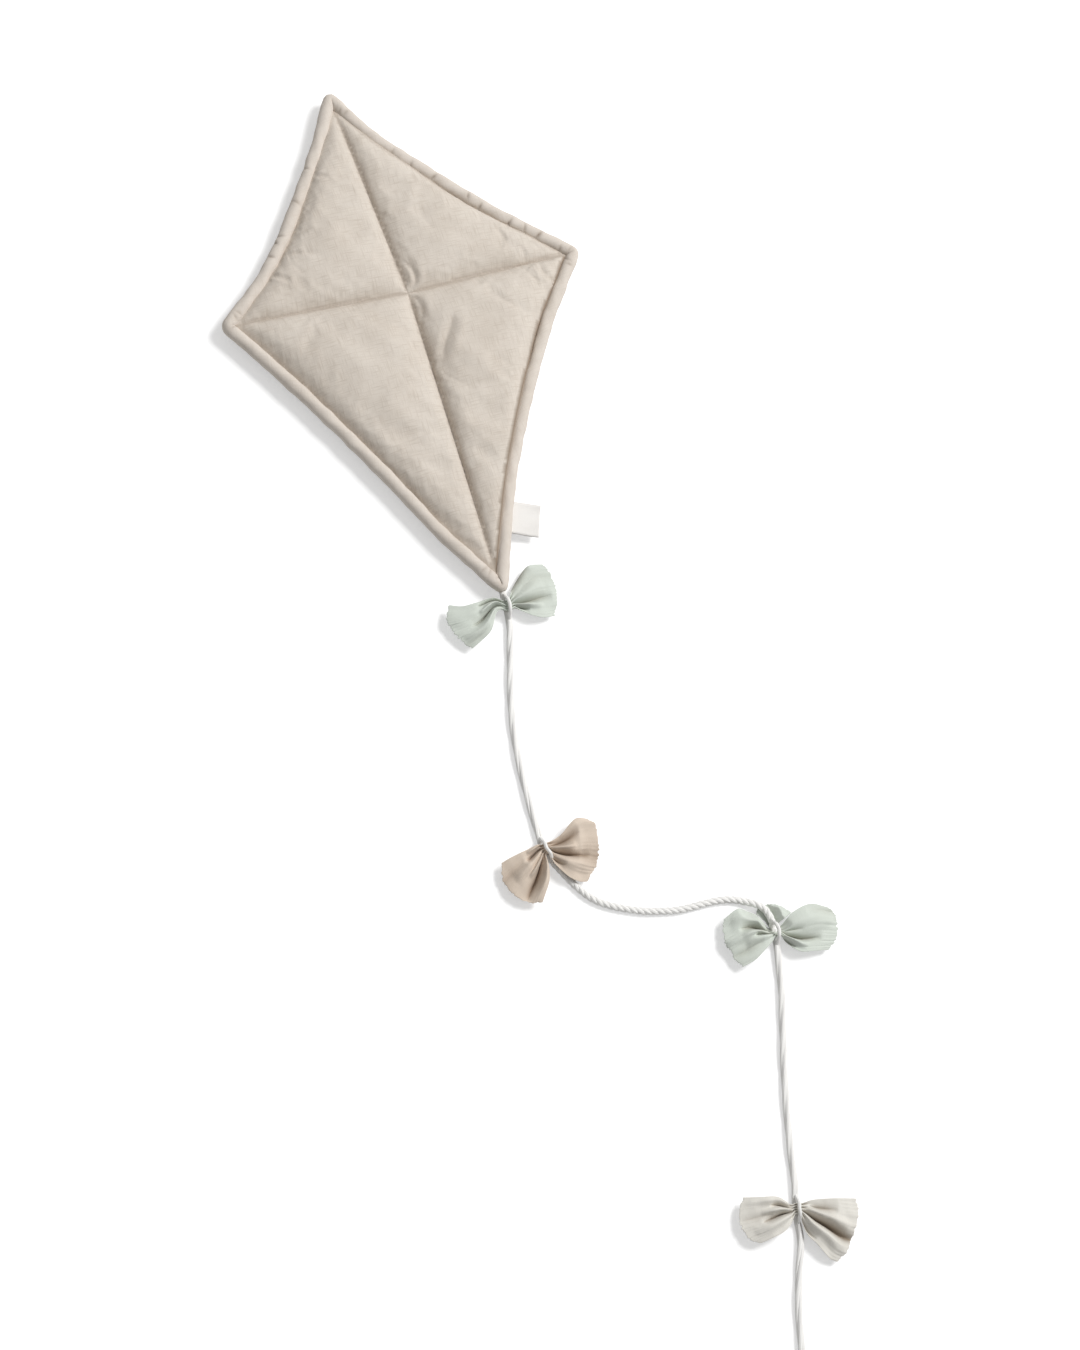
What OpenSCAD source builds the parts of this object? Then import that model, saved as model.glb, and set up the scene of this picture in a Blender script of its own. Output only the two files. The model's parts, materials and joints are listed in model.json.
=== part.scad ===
// Padded diamond kite with corded piping and a twisted-cotton tail of tied cloth bows.
// The kite lies on its back: +Z out of the front, +Y to the top corner, millimetres.

/* [Kite] */
// Length over the piping, top corner to tail corner
kite_len = 450; // [400:5:520]
// Width over the piping, side corner to side corner
kite_width = 310; // [270:5:360]
// Drop from the top corner to the cross seam
cross_drop = 179; // [160:1:200]
// How far the upper right side is drawn in
upper_right_draw = 8.5; // [3:0.5:15]
// How far the lower right side is drawn in
lower_right_draw = 14.5; // [3:0.5:15]
// How far the lower left side is drawn in
lower_left_draw = 3.5; // [3:0.5:15]
// How far the upper left side is drawn in
upper_left_draw = 10.5; // [3:0.5:15]

/* [Padding] */
// Height of the piping's centre above the surface the kite lies on
mid_height = 13; // [12:0.5:16]
// Rise of the upper sections above the quilting seams
upper_crown = 11; // [8:0.5:13]
// Rise of the lower sections above the quilting seams
lower_crown = 14; // [10:0.5:16]
// Half thickness that the quilting seams leave
seam_half = 3; // [2.5:0.1:4]
// Half thickness of the two panels where the piping is sewn in
rim_half = 1.6; // [1.6:0.1:2]
// Thickness of the linen
fabric = 1.2; // [0.8:0.1:1.3]
// Share of the front's rise that the back has
back_share = 0.8; // [0.7:0.05:0.9]

/* [Stitches] */
// Length of one stitch
stitch_len = 3.5; // [2:0.5:5]
// Distance from stitch to stitch
stitch_pitch = 6; // [5:0.5:9]
// Thickness of the thread
thread_d = 0.7; // [0.5:0.1:0.8]

/* [Piping] */
// Diameter of the piping
piping_d = 10; // [8:0.5:11]
// Thickness of the piping's strip
strip = 0.8; // [0.5:0.1:1.2]

/* [Side tag] */
// Width of the tag along the edge
tag_width = 27; // [15:1:40]
// Reach of the flap beyond the piping
tag_reach = 22; // [12:1:30]
// Thickness of one layer of the folded tag
tag_layer = 0.5; // [0.3:0.1:0.7]
// Place of the tag along the lower right side, from the side corner
tag_place = 0.81; // [0.6:0.01:0.84]

/* [Hanging loop] */
// Thickness of the loop's cord
loop_d = 3; // [2:0.5:3]
// Clear width inside the loop
loop_gap = 8; // [7:0.5:9]
// Length of the loop beyond its bar tack
loop_len = 22; // [18:1:24]
// Place of the bar tack below the top corner
loop_drop = 38; // [36:1:44]

/* [Tail] */
// Diameter of the tail cord
cord_d = 6; // [4:0.5:6]
// Height of the bows' waists above the surface
waist_height = 9; // [9:0.5:11]
// Radius of a bow's gathered waist
waist_r = 2.3; // [1.8:0.1:2.4]
// Thickness of the cord's turn round a waist
turn_d = 4; // [3:0.5:4]
// Diameter of the knot that ends the tail
end_knot_d = 15; // [12:1:18]
// Length of the knot that ends the tail
end_knot_len = 15; // [10:1:20]
// Depth of the grooves between that knot's turns
knot_groove = 2; // [1:0.5:3]

/* [Bows] */
// Thickness of the bows' cloth
cloth = 1; // [0.6:0.1:1.2]
// Height of the bows' folds to either side
fold = 4.5; // [3:0.5:5]

/* [Hidden] */

// Room between soft pieces that touch on the real kite
clear = 0.3;

linen = [0.82, 0.78, 0.73];
pale = [0.88, 0.85, 0.82];
white = [0.90, 0.89, 0.88];
bow_colors = [[0.80, 0.82, 0.77], [0.76, 0.69, 0.62], [0.80, 0.82, 0.77], [0.78, 0.77, 0.73]];

// Plan of the kite: the four panel corners, clockwise from the top
piping_r = piping_d / 2;
corner_r = piping_r + clear;
edge_w = corner_r + piping_r;
cross_y = kite_len / 2 - cross_drop;
corners = [[0, kite_len / 2 - edge_w], [kite_width / 2 - edge_w, cross_y],
           [0, edge_w - kite_len / 2], [edge_w - kite_width / 2, cross_y]];
draws = [upper_right_draw, lower_right_draw, lower_left_draw, upper_left_draw];
crowns = [upper_crown, lower_crown, lower_crown, upper_crown];
center = [0, cross_y];

// A side is an arc that bends in between its two corners, about a centre outside the kite
function start(q) = corners[q];
function finish(q) = corners[(q + 1) % 4];
function chord(q) = norm(finish(q) - start(q));
function along(q) = (finish(q) - start(q)) / chord(q);
function outward(q) = [-along(q).y, along(q).x];
function side_r(q) = (pow(chord(q) / 2, 2) + pow(draws[q], 2)) / (2 * draws[q]);
function side_o(q) = (start(q) + finish(q)) / 2 + (side_r(q) - draws[q]) * outward(q);
function half_turn(q) = asin(chord(q) / 2 / side_r(q));
function side_angle(q, t) = let (o = outward(q)) atan2(-o.y, -o.x) + half_turn(q) * (2 * t - 1);
function side_normal(q, t) = -[cos(side_angle(q, t)), sin(side_angle(q, t))];
function side_point(q, t) = side_o(q) - side_r(q) * side_normal(q, t);

// The rim that the piping follows: points of the panel's edge, each with its outward direction
side_steps = 10;
corner_steps = 6;
function corner_normal(q, t) =
    let (a = side_normal(q, 1), b = side_normal((q + 1) % 4, 0), turn = acos(a * b))
    (a * sin(turn * (1 - t)) + b * sin(turn * t)) / sin(turn);
rim = [for (q = [0:3]) each concat(
    [for (i = [0:side_steps]) [side_point(q, i / side_steps), side_normal(q, i / side_steps)]],
    [for (i = [1:corner_steps - 1]) [finish(q), corner_normal(q, i / corner_steps)]])];

// Grid of the padded panels: spokes from the seam crossing to the rim, rings between
side_spokes = 12;
spokes = 4 * side_spokes;
rings = 10;
crown_rise = 0.7;
crown_fall = 0.5;
seam_spread = 1.25;
function spoke_side(s) = floor(s / side_spokes);
function spoke_turn(s) = 180 * (s % side_spokes) / side_spokes;
function ring_u(i) = sin(90 * i / rings);
function spoke_end(s) = side_point(spoke_side(s), (1 - cos(spoke_turn(s))) / 2);
function plan(s, i) = center + ring_u(i) * (spoke_end(s) - center);
function swell(u) = pow(u, crown_rise) * pow(1 - u, crown_fall);
swell_top = swell(crown_rise / (crown_rise + crown_fall));
function seam_lift(u) = seam_half + (rim_half - seam_half) * pow(u, 6);
function crown_lift(s, u) = crowns[spoke_side(s)] * pow(sin(spoke_turn(s)), seam_spread)
    * swell(u) / swell_top;
function front_z(s, i) = mid_height + seam_lift(ring_u(i)) + crown_lift(s, ring_u(i));
function back_z(s, i) = max(0, mid_height - seam_lift(ring_u(i)) - back_share * crown_lift(s, ring_u(i)));

// Closed sheet between two height functions over the grid, up to a last ring
function sheet_points(last, up, down) = concat(
    [[center.x, center.y, up(0, 0)], [center.x, center.y, down(0, 0)]],
    [for (i = [1:last], s = [0:spokes - 1]) [plan(s, i).x, plan(s, i).y, up(s, i)]],
    [for (i = [1:last], s = [0:spokes - 1]) [plan(s, i).x, plan(s, i).y, down(s, i)]]);
function upper_index(i, s) = 2 + (i - 1) * spokes + s % spokes;
function lower_index(i, s, last) = 2 + last * spokes + (i - 1) * spokes + s % spokes;
function quad(a, b, c, d) = [[a, b, c], [a, c, d]];
function sheet_faces(last) = [for (s = [0:spokes - 1]) each concat(
    [[0, upper_index(1, s), upper_index(1, s + 1)]],
    [[1, lower_index(1, s + 1, last), lower_index(1, s, last)]],
    [for (i = [1:last - 1]) each concat(
        quad(upper_index(i, s), upper_index(i + 1, s), upper_index(i + 1, s + 1), upper_index(i, s + 1)),
        quad(lower_index(i, s, last), lower_index(i, s + 1, last),
             lower_index(i + 1, s + 1, last), lower_index(i + 1, s, last)))],
    quad(upper_index(last, s), lower_index(last, s, last),
         lower_index(last, s + 1, last), upper_index(last, s + 1)))];
module sheet(last, up, down) { polyhedron(sheet_points(last, up, down), sheet_faces(last), convexity = 6); }

// Tube through a list of closed sections, open with flat ends or joined into a ring
function skin_faces(count, n, ring) = concat(
    [for (i = [0:count - (ring ? 1 : 2)], k = [0:n - 1]) each quad(
        i * n + k, i * n + (k + 1) % n, (i + 1) % count * n + (k + 1) % n, (i + 1) % count * n + k)],
    ring ? [] : [for (k = [1:n - 2]) each [[0, k + 1, k],
        [(count - 1) * n, (count - 1) * n + k, (count - 1) * n + k + 1]]]);
module skin(sections, ring = false) {
    polyhedron([for (s = sections) each s], skin_faces(len(sections), len(sections[0]), ring), convexity = 6);
}

// Section of the piping at one rim point, from a flat profile of [outward, up] pairs
function rim_section(r, profile) = [for (p = profile)
    [each r[0] + (corner_r + p.x) * r[1], mid_height + p.y]];
function arc(r, from, to, steps) = [for (i = [0:steps]) let (a = from + (to - from) * i / steps)
    [r * cos(a), r * sin(a)]];

// Stitches along the seam to one corner, each seated on the two walls of the quilted groove
stitch_start = 24;
stitch_end = 0.88;
function seam_way(q) = (corners[q] - center) / norm(corners[q] - center);
function off_seam(q, s) = let (w = seam_way(q), e = spoke_end(s) - center) abs(w.x * e.y - w.y * e.x);
function wall_rise(q, s, u) = crown_lift(s, u) * thread_d / 2 / (off_seam(q, s) * u);
function stitch_z(q, u) = mid_height + seam_lift(u) + (thread_d + clear) / 2
    + max(wall_rise(q, q * side_spokes + 1, u), wall_rise(q, (q * side_spokes + spokes - 1) % spokes, u));
module stitch_row(q) {
    run = norm(corners[q] - center);
    for (d = [stitch_start:stitch_pitch:run * stitch_end])
        translate([center.x, center.y, stitch_z(q, d / run)])
            rotate([0, 0, atan2(seam_way(q).y, seam_way(q).x)]) translate([d, 0, 0])
                cube([stitch_len, thread_d, thread_d], center = true);
}

// Frame of the side tag: x out from the piping's centre, y along the edge, z up
tag_side = 1;
tag_thick = 2 * tag_layer + clear;
tag_wrap = piping_r + clear;
tag_leave = -35;
tag_seam = -125;
tag_pivot = [(tag_wrap + tag_thick) * cos(tag_leave) + tag_thick / 2,
             (tag_wrap + tag_thick / 2) * sin(tag_leave)];
module at_tag() {
    normal = side_normal(tag_side, tag_place);
    place = side_point(tag_side, tag_place) + corner_r * normal;
    translate([place.x, place.y, mid_height]) rotate([0, 0, atan2(normal.y, normal.x)]) children();
}
module tag_slice(outline) {
    at_tag() rotate([90, 0, 0])
        translate([0, 0, -tag_width / 2]) linear_extrude(tag_width) polygon(outline);
}

// Places on the tail, measured from the tail corner, x and y
tail_corner = [0, -kite_len / 2];
knots = [[0, -9], [-36, -207], [124, -319], [64, -529]];
route_1 = [[-3, -25], [-10, -47], [-18, -71], [-25, -95], [-30, -120], [-33, -145], [-35, -175]];
route_2 = [[-23, -235], [-12, -252], [2, -263], [23, -273], [36, -277], [55, -281], [82, -282],
           [96, -284], [108, -289], [119, -297], [123, -306]];
route_3 = [[114, -360], [104, -391], [94, -421], [85, -451], [77, -481], [70, -511]];
route_4 = [[60, -551], [50, -575], [42, -595], [32, -629], [26, -655]];
tail_stop = [22, -685];
tail_inner = [0, 22];

// Bows: for the right and the left wing its heading, spread and length
bows = [[[-2, 66, 47], [197, 50, 50]],
        [[-17, 72, 45], [215, 66, 44]],
        [[-13, 50, 51], [176, 62, 43]],
        [[-38, 66, 49], [177, 54, 47]]];

// The cord keeps clear of the turns that swivel about a knot
cord_r = cord_d / 2;
turn_r = waist_r + clear + turn_d / 2;
function turn_room(top) = clear
    + sqrt(max(0, pow(turn_r + turn_d / 2, 2) - pow(max(0, waist_height - top), 2)));
knot_room = turn_room(cord_d);
function toward(a, b) = (b - a) / norm(b - a);
function on_floor(p) = [tail_corner.x + p.x, tail_corner.y + p.y, cord_r];
function stretch(from, points, to, room) = [for (p = concat([from + knot_room * toward(from, points[0])],
    points, [to + room * toward(to, points[len(points) - 1])])) on_floor(p)];

// Smooth curve through the route's points, two rings to a step
rings_per_step = 2;
cord_sides = 8;
function clamp_at(p, i) = p[max(0, min(len(p) - 1, i))];
function curve(a, b, c, d, t) = ((2 * b) + (c - a) * t + (2 * a - 5 * b + 4 * c - d) * t * t
    + (3 * b - a - 3 * c + d) * t * t * t) / 2;
function smooth(p) = concat([for (i = [0:len(p) - 2], k = [0:rings_per_step - 1])
    curve(clamp_at(p, i - 1), p[i], p[i + 1], clamp_at(p, i + 2), k / rings_per_step)], [p[len(p) - 1]]);
function heading_at(p, i) = toward(clamp_at(p, i - 1), clamp_at(p, i + 1));
function cord_section(p, i, r) =
    let (h = heading_at(p, i), side = toward([0, 0, 0], cross(h, [0, 0, 1])), up = cross(side, h))
    [for (k = [0:cord_sides - 1]) let (a = 360 * (k + 0.5) / cord_sides)
        p[i] + r / cos(180 / cord_sides) * (cos(a) * side + sin(a) * up)];
module cord(points, r) { skin([for (i = [0:len(points) - 1]) cord_section(points, i, r)]); }

// One bow: sections of the pleated cloth from the right wing's edge through the waist to the left's
wing_steps = 7;
wing_cells = 12;
pleats = 2;
waist_half = turn_d / 2 + 3 * clear;
bow_open = 1.6;
gather = 0.35;
fold_grow = 1.6;
thinnest = 0.3;
bow_end_z = fold + cloth / 2 + clear;
function turned(p, a) = [p.x * cos(a) - p.y * sin(a), p.x * sin(a) + p.y * cos(a)];
function bow_axis(b) = (bows[b][0][0] + bows[b][1][0] - 180) / 2;
function wing_plan(b, w, a, t) = let (wing = bows[b][w], mirror_t = w == 0 ? t : -t,
    half = wing[2] * sin(wing[1] / 2),
    out = (wing[2] * cos(mirror_t * wing[1] / 2 * a) - waist_half) * a,
    wide = mirror_t * (waist_r + (half - waist_r) * (1 - pow(1 - a, bow_open))))
    turned([waist_half, 0], bow_axis(b) + 180 * w) + turned([out, wide], wing[0]);
function wing_mid_z(a, t) = waist_height + (bow_end_z - waist_height) * pow(a, 1.5)
    + fold * sin(90 * min(1, fold_grow * a)) * cos(180 * pleats * (t + 1));
function wing_thick(a, t) = let (w = pow(max(0, 1 - a / gather), 2))
    max(thinnest, cloth * (1 - w) + 2 * waist_r * sqrt(1 - t * t) * w);
function wing_point(b, w, a, t, side) = let (p = knots[b] + tail_corner + wing_plan(b, w, a, t))
    [p.x, p.y, wing_mid_z(a, t) + side * wing_thick(a, t) / 2];
function bow_section(b, w, a) = concat(
    [for (j = [0:wing_cells]) wing_point(b, w, a, 2 * j / wing_cells - 1, 1)],
    [for (j = [wing_cells:-1:0]) wing_point(b, w, a, 2 * j / wing_cells - 1, -1)]);
function bow_sections(b) = concat(
    [for (i = [wing_steps:-1:0]) bow_section(b, 0, i / wing_steps)],
    [for (i = [0:wing_steps]) bow_section(b, 1, i / wing_steps)]);
function strip_cap(base, n, flip) = [for (j = [0:n / 2 - 2])
    each let (a = base + j, b = base + j + 1, c = base + n - 2 - j, d = base + n - 1 - j)
    flip ? quad(a, d, c, b) : quad(a, b, c, d)];
function bow_faces(count, n) = concat(
    [for (i = [0:count - 2], k = [0:n - 1])
        each quad(i * n + k, (i + 1) * n + k, (i + 1) * n + (k + 1) % n, i * n + (k + 1) % n)],
    strip_cap(0, n, false), strip_cap((count - 1) * n, n, true));

module front_panel() {
    color(linen) sheet(rings, function(s, i) front_z(s, i), function(s, i) front_z(s, i) - fabric);
}

module back_panel() {
    color(linen) sheet(rings, function(s, i) back_z(s, i) + fabric, function(s, i) back_z(s, i));
}

module filling() {
    color("white") sheet(rings - 1, function(s, i) front_z(s, i) - fabric - clear / 2,
                         function(s, i) back_z(s, i) + fabric + clear / 2);
}

// The strip wraps the cord, open where its two edges run into the seam
module piping_cover() {
    mouth = 12;
    inner = piping_r - strip;
    profile = concat(arc(inner, 180 + mouth, 540 - mouth, 8), arc(piping_r, 540 - mouth, 180 + mouth, 10));
    color(pale) skin([for (r = rim) rim_section(r, profile)], ring = true);
}

module piping_cord() {
    core = piping_r - strip - clear;
    color(white) skin([for (r = rim) rim_section(r, arc(core, 315, 0, 7))], ring = true);
}

module spine_stitches() {
    color(pale) {
        stitch_row(0);
        stitch_row(2);
    }
}

module spar_stitches() {
    color(pale) {
        stitch_row(1);
        stitch_row(3);
    }
}

// The sewn-in end follows the piping's underside from the seam to where the flap leaves
module tag_root() {
    color(white) tag_slice(concat(arc(tag_wrap, tag_seam, tag_leave, 8),
                                  arc(tag_wrap + tag_thick, tag_leave, tag_seam, 8)));
}

// Two layers with a round fold at the free edge
module tag_flap() {
    root = tag_pivot.x + clear;
    tip = root + tag_reach;
    half = tag_thick / 2;
    bend = [for (p = arc(half, -90, 90, 6)) [tip - half + p.x, tag_pivot.y + p.y]];
    slot = [for (p = arc(clear / 2, 90, -90, 4)) [tip - half + p.x, tag_pivot.y + p.y]];
    color(white) tag_slice(concat([[root, tag_pivot.y - half]], bend, [[root, tag_pivot.y + half]],
        [[root, tag_pivot.y + clear / 2]], slot, [[root, tag_pivot.y - clear / 2]]));
}

// The loop lies under the top corner's piping, its two ends held by the bar tack
loop_r = loop_d / 2;
loop_bend = (loop_gap + loop_d) / 2;
loop_z = mid_height - piping_r - clear - loop_r;
loop_y = kite_len / 2 - loop_drop;
tack_h = 1;
module hanging_loop() {
    straight = loop_len - loop_bend - loop_r;
    path = concat([[loop_bend, loop_y, loop_z]],
        [for (p = arc(loop_bend, 0, 180, 10)) [p.x, loop_y + straight + p.y, loop_z]],
        [[-loop_bend, loop_y, loop_z]]);
    color(pale) cord(path, loop_r);
}

module loop_tack() {
    wide = loop_gap + 2 * loop_d;
    color(white) translate([-wide / 2, loop_y - tack_h - clear - loop_d, loop_z - loop_r])
        cube([wide, loop_d + tack_h, loop_d - clear]);
}

// The inner end of the tail lies straight behind the tail corner, under the piping
module tail_end() {
    from = tail_corner + tail_inner;
    z = mid_height - piping_r - clear - cord_r;
    to = tail_corner + knots[0] + [0, turn_room(z + cord_r)];
    color(white) cord([[from.x, from.y, z], [to.x, to.y, z]], cord_r);
}

module tail_cord(n, points, stop, room) {
    color(white) cord(smooth(stretch(knots[n], points, stop, room)), cord_r);
}
module tail_cord_1() { tail_cord(0, route_1, knots[1], knot_room); }
module tail_cord_2() { tail_cord(1, route_2, knots[2], knot_room); }
module tail_cord_3() { tail_cord(2, route_3, knots[3], knot_room); }
module tail_cord_4() { tail_cord(3, route_4, tail_stop, end_knot_len / 2 + clear); }

// The cord's turn round a bow's waist
module knot(b) {
    p = knots[b] + tail_corner;
    color(white) translate([p.x, p.y, waist_height]) rotate([0, 90, bow_axis(b)])
        rotate_extrude($fn = 12) translate([turn_r / cos(15), 0]) circle(d = turn_d, $fn = 8);
}
module knot_1() { knot(0); }
module knot_2() { knot(1); }
module knot_3() { knot(2); }
module knot_4() { knot(3); }

module bow(b) {
    sections = bow_sections(b);
    color(bow_colors[b]) polyhedron([for (s = sections) each s],
        bow_faces(len(sections), len(sections[0])), convexity = 8);
}
module bow_1() { bow(0); }
module bow_2() { bow(1); }
module bow_3() { bow(2); }
module bow_4() { bow(3); }

// Barrel knot that ends the tail: its turns swell round the cord, and a short tuft hangs past it
module end_knot() {
    turns = 3;
    steps = 4 * turns;
    last = route_4[len(route_4) - 1];
    way = [each toward(last, tail_stop), 0];
    side = cross(way, [0, 0, 1]);
    middle = [each tail_stop + tail_corner, end_knot_d / 2];
    swells = [for (i = [0:steps]) let (f = i / steps)
        [(f - 0.5) * end_knot_len, 0, end_knot_d / 2 - knot_groove * (1 - abs(sin(180 * turns * f)))]];
    tuft = [[end_knot_len / 2 + cord_d, cord_r - end_knot_d / 4, cord_r],
            [end_knot_len / 2 + 3 * cord_d, cord_r - end_knot_d / 2, cord_r]];
    color(white) skin([for (w = concat(swells, tuft))
        [for (p = arc(w[2], 0, 330, 11)) middle + w[0] * way + p.x * side + [0, 0, p.y + w[1]]]]);
}

front_panel();
back_panel();
filling();
piping_cover();
piping_cord();
spine_stitches();
spar_stitches();
tag_root();
tag_flap();
hanging_loop();
loop_tack();
tail_end();
tail_cord_1();
tail_cord_2();
tail_cord_3();
tail_cord_4();
knot_1();
knot_2();
knot_3();
knot_4();
bow_1();
bow_2();
bow_3();
bow_4();
end_knot();
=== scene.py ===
import json
import math

import bpy
import numpy as np
from mathutils import Matrix, Vector
from mathutils.geometry import delaunay_2d_cdt


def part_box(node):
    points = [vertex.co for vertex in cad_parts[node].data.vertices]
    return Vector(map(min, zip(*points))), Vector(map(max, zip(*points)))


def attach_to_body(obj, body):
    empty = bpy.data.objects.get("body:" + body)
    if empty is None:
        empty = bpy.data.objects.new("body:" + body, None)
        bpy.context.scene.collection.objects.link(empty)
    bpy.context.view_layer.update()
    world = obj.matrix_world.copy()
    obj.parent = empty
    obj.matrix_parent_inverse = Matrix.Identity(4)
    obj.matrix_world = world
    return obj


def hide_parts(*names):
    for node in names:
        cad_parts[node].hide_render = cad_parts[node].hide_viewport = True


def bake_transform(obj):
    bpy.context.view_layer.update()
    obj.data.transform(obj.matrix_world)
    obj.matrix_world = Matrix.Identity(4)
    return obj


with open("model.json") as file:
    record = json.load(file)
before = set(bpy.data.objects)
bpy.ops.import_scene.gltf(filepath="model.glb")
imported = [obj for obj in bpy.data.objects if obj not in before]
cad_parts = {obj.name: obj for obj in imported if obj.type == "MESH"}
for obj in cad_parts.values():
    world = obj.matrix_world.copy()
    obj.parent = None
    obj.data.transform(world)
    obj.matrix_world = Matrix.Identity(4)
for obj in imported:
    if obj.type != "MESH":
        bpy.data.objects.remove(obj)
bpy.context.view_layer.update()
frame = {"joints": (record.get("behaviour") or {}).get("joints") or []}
scene = bpy.context.scene
mm = 0.001
tiny = 1e-9  # keeps a division from being by nought

# Camera at the photograph's angle: the kite lies on its back and the view is turned
cameraView = {
    "place": (-0.7731, -0.8621, 2.3455),
    "forward": (0.3083, 0.2241, -0.9245),
    "up": (0.2391, 0.9224, 0.3033),
    "lens": 85.04,
    "sensor": 36.0,
    "sight": 20.0,
}


def makeCamera(view):
    data = bpy.data.cameras.new("camera")
    data.lens = view["lens"]
    data.sensor_width = view["sensor"]
    data.clip_end = view["sight"]
    back = -Vector(view["forward"]).normalized()
    right = Vector(view["up"]).cross(back).normalized()
    up = back.cross(right)
    camera = bpy.data.objects.new("camera", data)
    turn = Matrix((right, up, back)).transposed().to_4x4()
    camera.matrix_world = Matrix.Translation(view["place"]) @ turn
    scene.collection.objects.link(camera)
    scene.camera = camera


makeCamera(cameraView)
print("camera placed")


# Mesh helpers: a shape gathers points, faces and one map pair per face corner
def newShape():
    return {"points": [], "faces": [], "pairs": []}


def addMesh(name, shape, material, smooth=True):
    mesh = bpy.data.meshes.new(name)
    mesh.from_pydata([tuple(p) for p in shape["points"]], [], shape["faces"])
    layer = mesh.uv_layers.new(name="clothMap")
    layer.data.foreach_set("uv", np.asarray(shape["pairs"], np.float32).ravel())
    mesh.polygons.foreach_set("use_smooth", [smooth] * len(mesh.polygons))
    mesh.materials.append(material)
    mesh.update()
    piece = bpy.data.objects.new(name, mesh)
    scene.collection.objects.link(piece)
    return piece


def paintFoldShade(piece, values):
    # painted shade: how deep in a fold or groove each point lies, which darkens the cloth's colour
    mark = piece.data.attributes.new("fold", "FLOAT", "POINT")
    mark.data.foreach_set("value", np.clip(values, 0, 1).astype(np.float32))


def lengthsAlong(path):
    steps = np.linalg.norm(np.diff(path, axis=0), axis=1)
    return np.concatenate([[0], np.cumsum(steps)])


curveSteps = 24  # short pieces between two given points of a smooth line


def smoothLine(points, step):
    # one smooth curve through the points, then even steps along it
    p = np.asarray(points, float)
    p = np.vstack([2 * p[0] - p[1], p, 2 * p[-1] - p[-2]])
    fine = []
    for i in range(1, len(p) - 2):
        for t in np.linspace(0, 1, curveSteps, endpoint=False):
            fine.append(0.5 * (2 * p[i] + (p[i + 1] - p[i - 1]) * t
                               + (2 * p[i - 1] - 5 * p[i] + 4 * p[i + 1] - p[i + 2]) * t ** 2
                               + (3 * p[i] - p[i - 1] - 3 * p[i + 1] + p[i + 2]) * t ** 3))
    fine = np.array(fine + [p[-2]])
    return evenLine(fine, step)


def spacedLine(line, count):
    along = lengthsAlong(line)
    at = np.linspace(0, along[-1], count)
    return np.stack([np.interp(at, along, line[:, k]) for k in range(line.shape[1])], axis=1)


def evenLine(line, step):
    return spacedLine(line, max(3, int(round(lengthsAlong(line)[-1] / step)) + 1))


def lineFrames(path, closed=False):
    # heading, side and up at each point, carried along without twist
    if closed:
        heading = np.roll(path, -1, axis=0) - np.roll(path, 1, axis=0)
    else:
        heading = np.gradient(path, axis=0)
    heading = heading / np.linalg.norm(heading, axis=1)[:, None]
    start = np.cross(heading[0], (0, 0, 1))
    if np.linalg.norm(start) < 0.1:  # the line starts nearly upright
        start = np.cross(heading[0], (0, 1, 0))
    side = []
    for h in heading:
        start = start - h * (start @ h)
        start = start / np.linalg.norm(start)
        side.append(start)
    side = np.array(side)
    return heading, side, np.cross(heading, side)


def addTube(shape, path, radius, sides, around=1.0, closed=False, reshape=None):
    # radius is one number or one for each point; reshape may alter the grid of radii
    path = np.asarray(path, float)
    size = np.broadcast_to(np.asarray(radius, float), (len(path),)).copy()
    heading, side, up = lineFrames(path, closed)
    if not closed:
        dome = np.radians([78, 52, 26])  # three smaller rings round off each end
        front = [path[0] - heading[0] * size[0] * math.sin(a) for a in dome]
        back = [path[-1] + heading[-1] * size[-1] * math.sin(a) for a in dome[::-1]]
        path = np.vstack([front, path, back])
        size = np.concatenate([size[0] * np.cos(dome), size, size[-1] * np.cos(dome[::-1])])
        side = np.vstack([[side[0]] * len(dome), side, [side[-1]] * len(dome)])
        up = np.vstack([[up[0]] * len(dome), up, [up[-1]] * len(dome)])
    angle = np.linspace(0, 2 * math.pi, sides, endpoint=False)
    grid = np.repeat(size[:, None], sides, axis=1)
    along = lengthsAlong(np.vstack([path, path[:1]]) if closed else path)
    if reshape is not None:
        grid = reshape(grid, along[:len(path)], angle)
    outward = np.cos(angle)[None, :, None] * side[:, None, :] + np.sin(angle)[None, :, None] * up[:, None, :]
    ring = path[:, None, :] + grid[:, :, None] * outward
    base = len(shape["points"])
    count = len(path)
    shape["points"].extend(ring.reshape(-1, 3))
    for i in range(count if closed else count - 1):
        j = (i + 1) % count
        for k in range(sides):
            m = (k + 1) % sides
            shape["faces"].append((base + i * sides + k, base + i * sides + m,
                                   base + j * sides + m, base + j * sides + k))
            u0, u1 = around * k / sides, around * (k + 1) / sides
            shape["pairs"] += [(u0, along[i]), (u1, along[i]), (u1, along[i + 1]), (u0, along[i + 1])]
    if not closed:
        for first, order in ((base, range(sides - 1, -1, -1)), (base + (count - 1) * sides, range(sides))):
            shape["faces"].append(tuple(first + k for k in order))
            shape["pairs"] += [(around * k / sides, 0.0) for k in order]


def softNoise(seed, form):
    # smooth seeded ripple over x and y, about -1 to 1, of waves from the longest to the shortest
    waves = form["waves"]
    rng = np.random.default_rng(seed)
    size = np.geomspace(form["longest"], form["shortest"], waves)
    way = rng.uniform(0, math.pi, waves)
    start = rng.uniform(0, 2 * math.pi, waves)

    def value(x, y):
        total = 0
        for k in range(waves):
            run = x * math.cos(way[k]) + y * math.sin(way[k])
            total = total + np.sin(run * 2 * math.pi / size[k] + start[k])
        return total / math.sqrt(waves)
    return value


def bump(x):
    return np.exp(-x * x)


def thicken(piece, thickness):
    # a sheet takes its thickness half to each side
    layer = piece.modifiers.new("thick", "SOLIDIFY")
    layer.thickness = thickness
    layer.offset = 0


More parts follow.
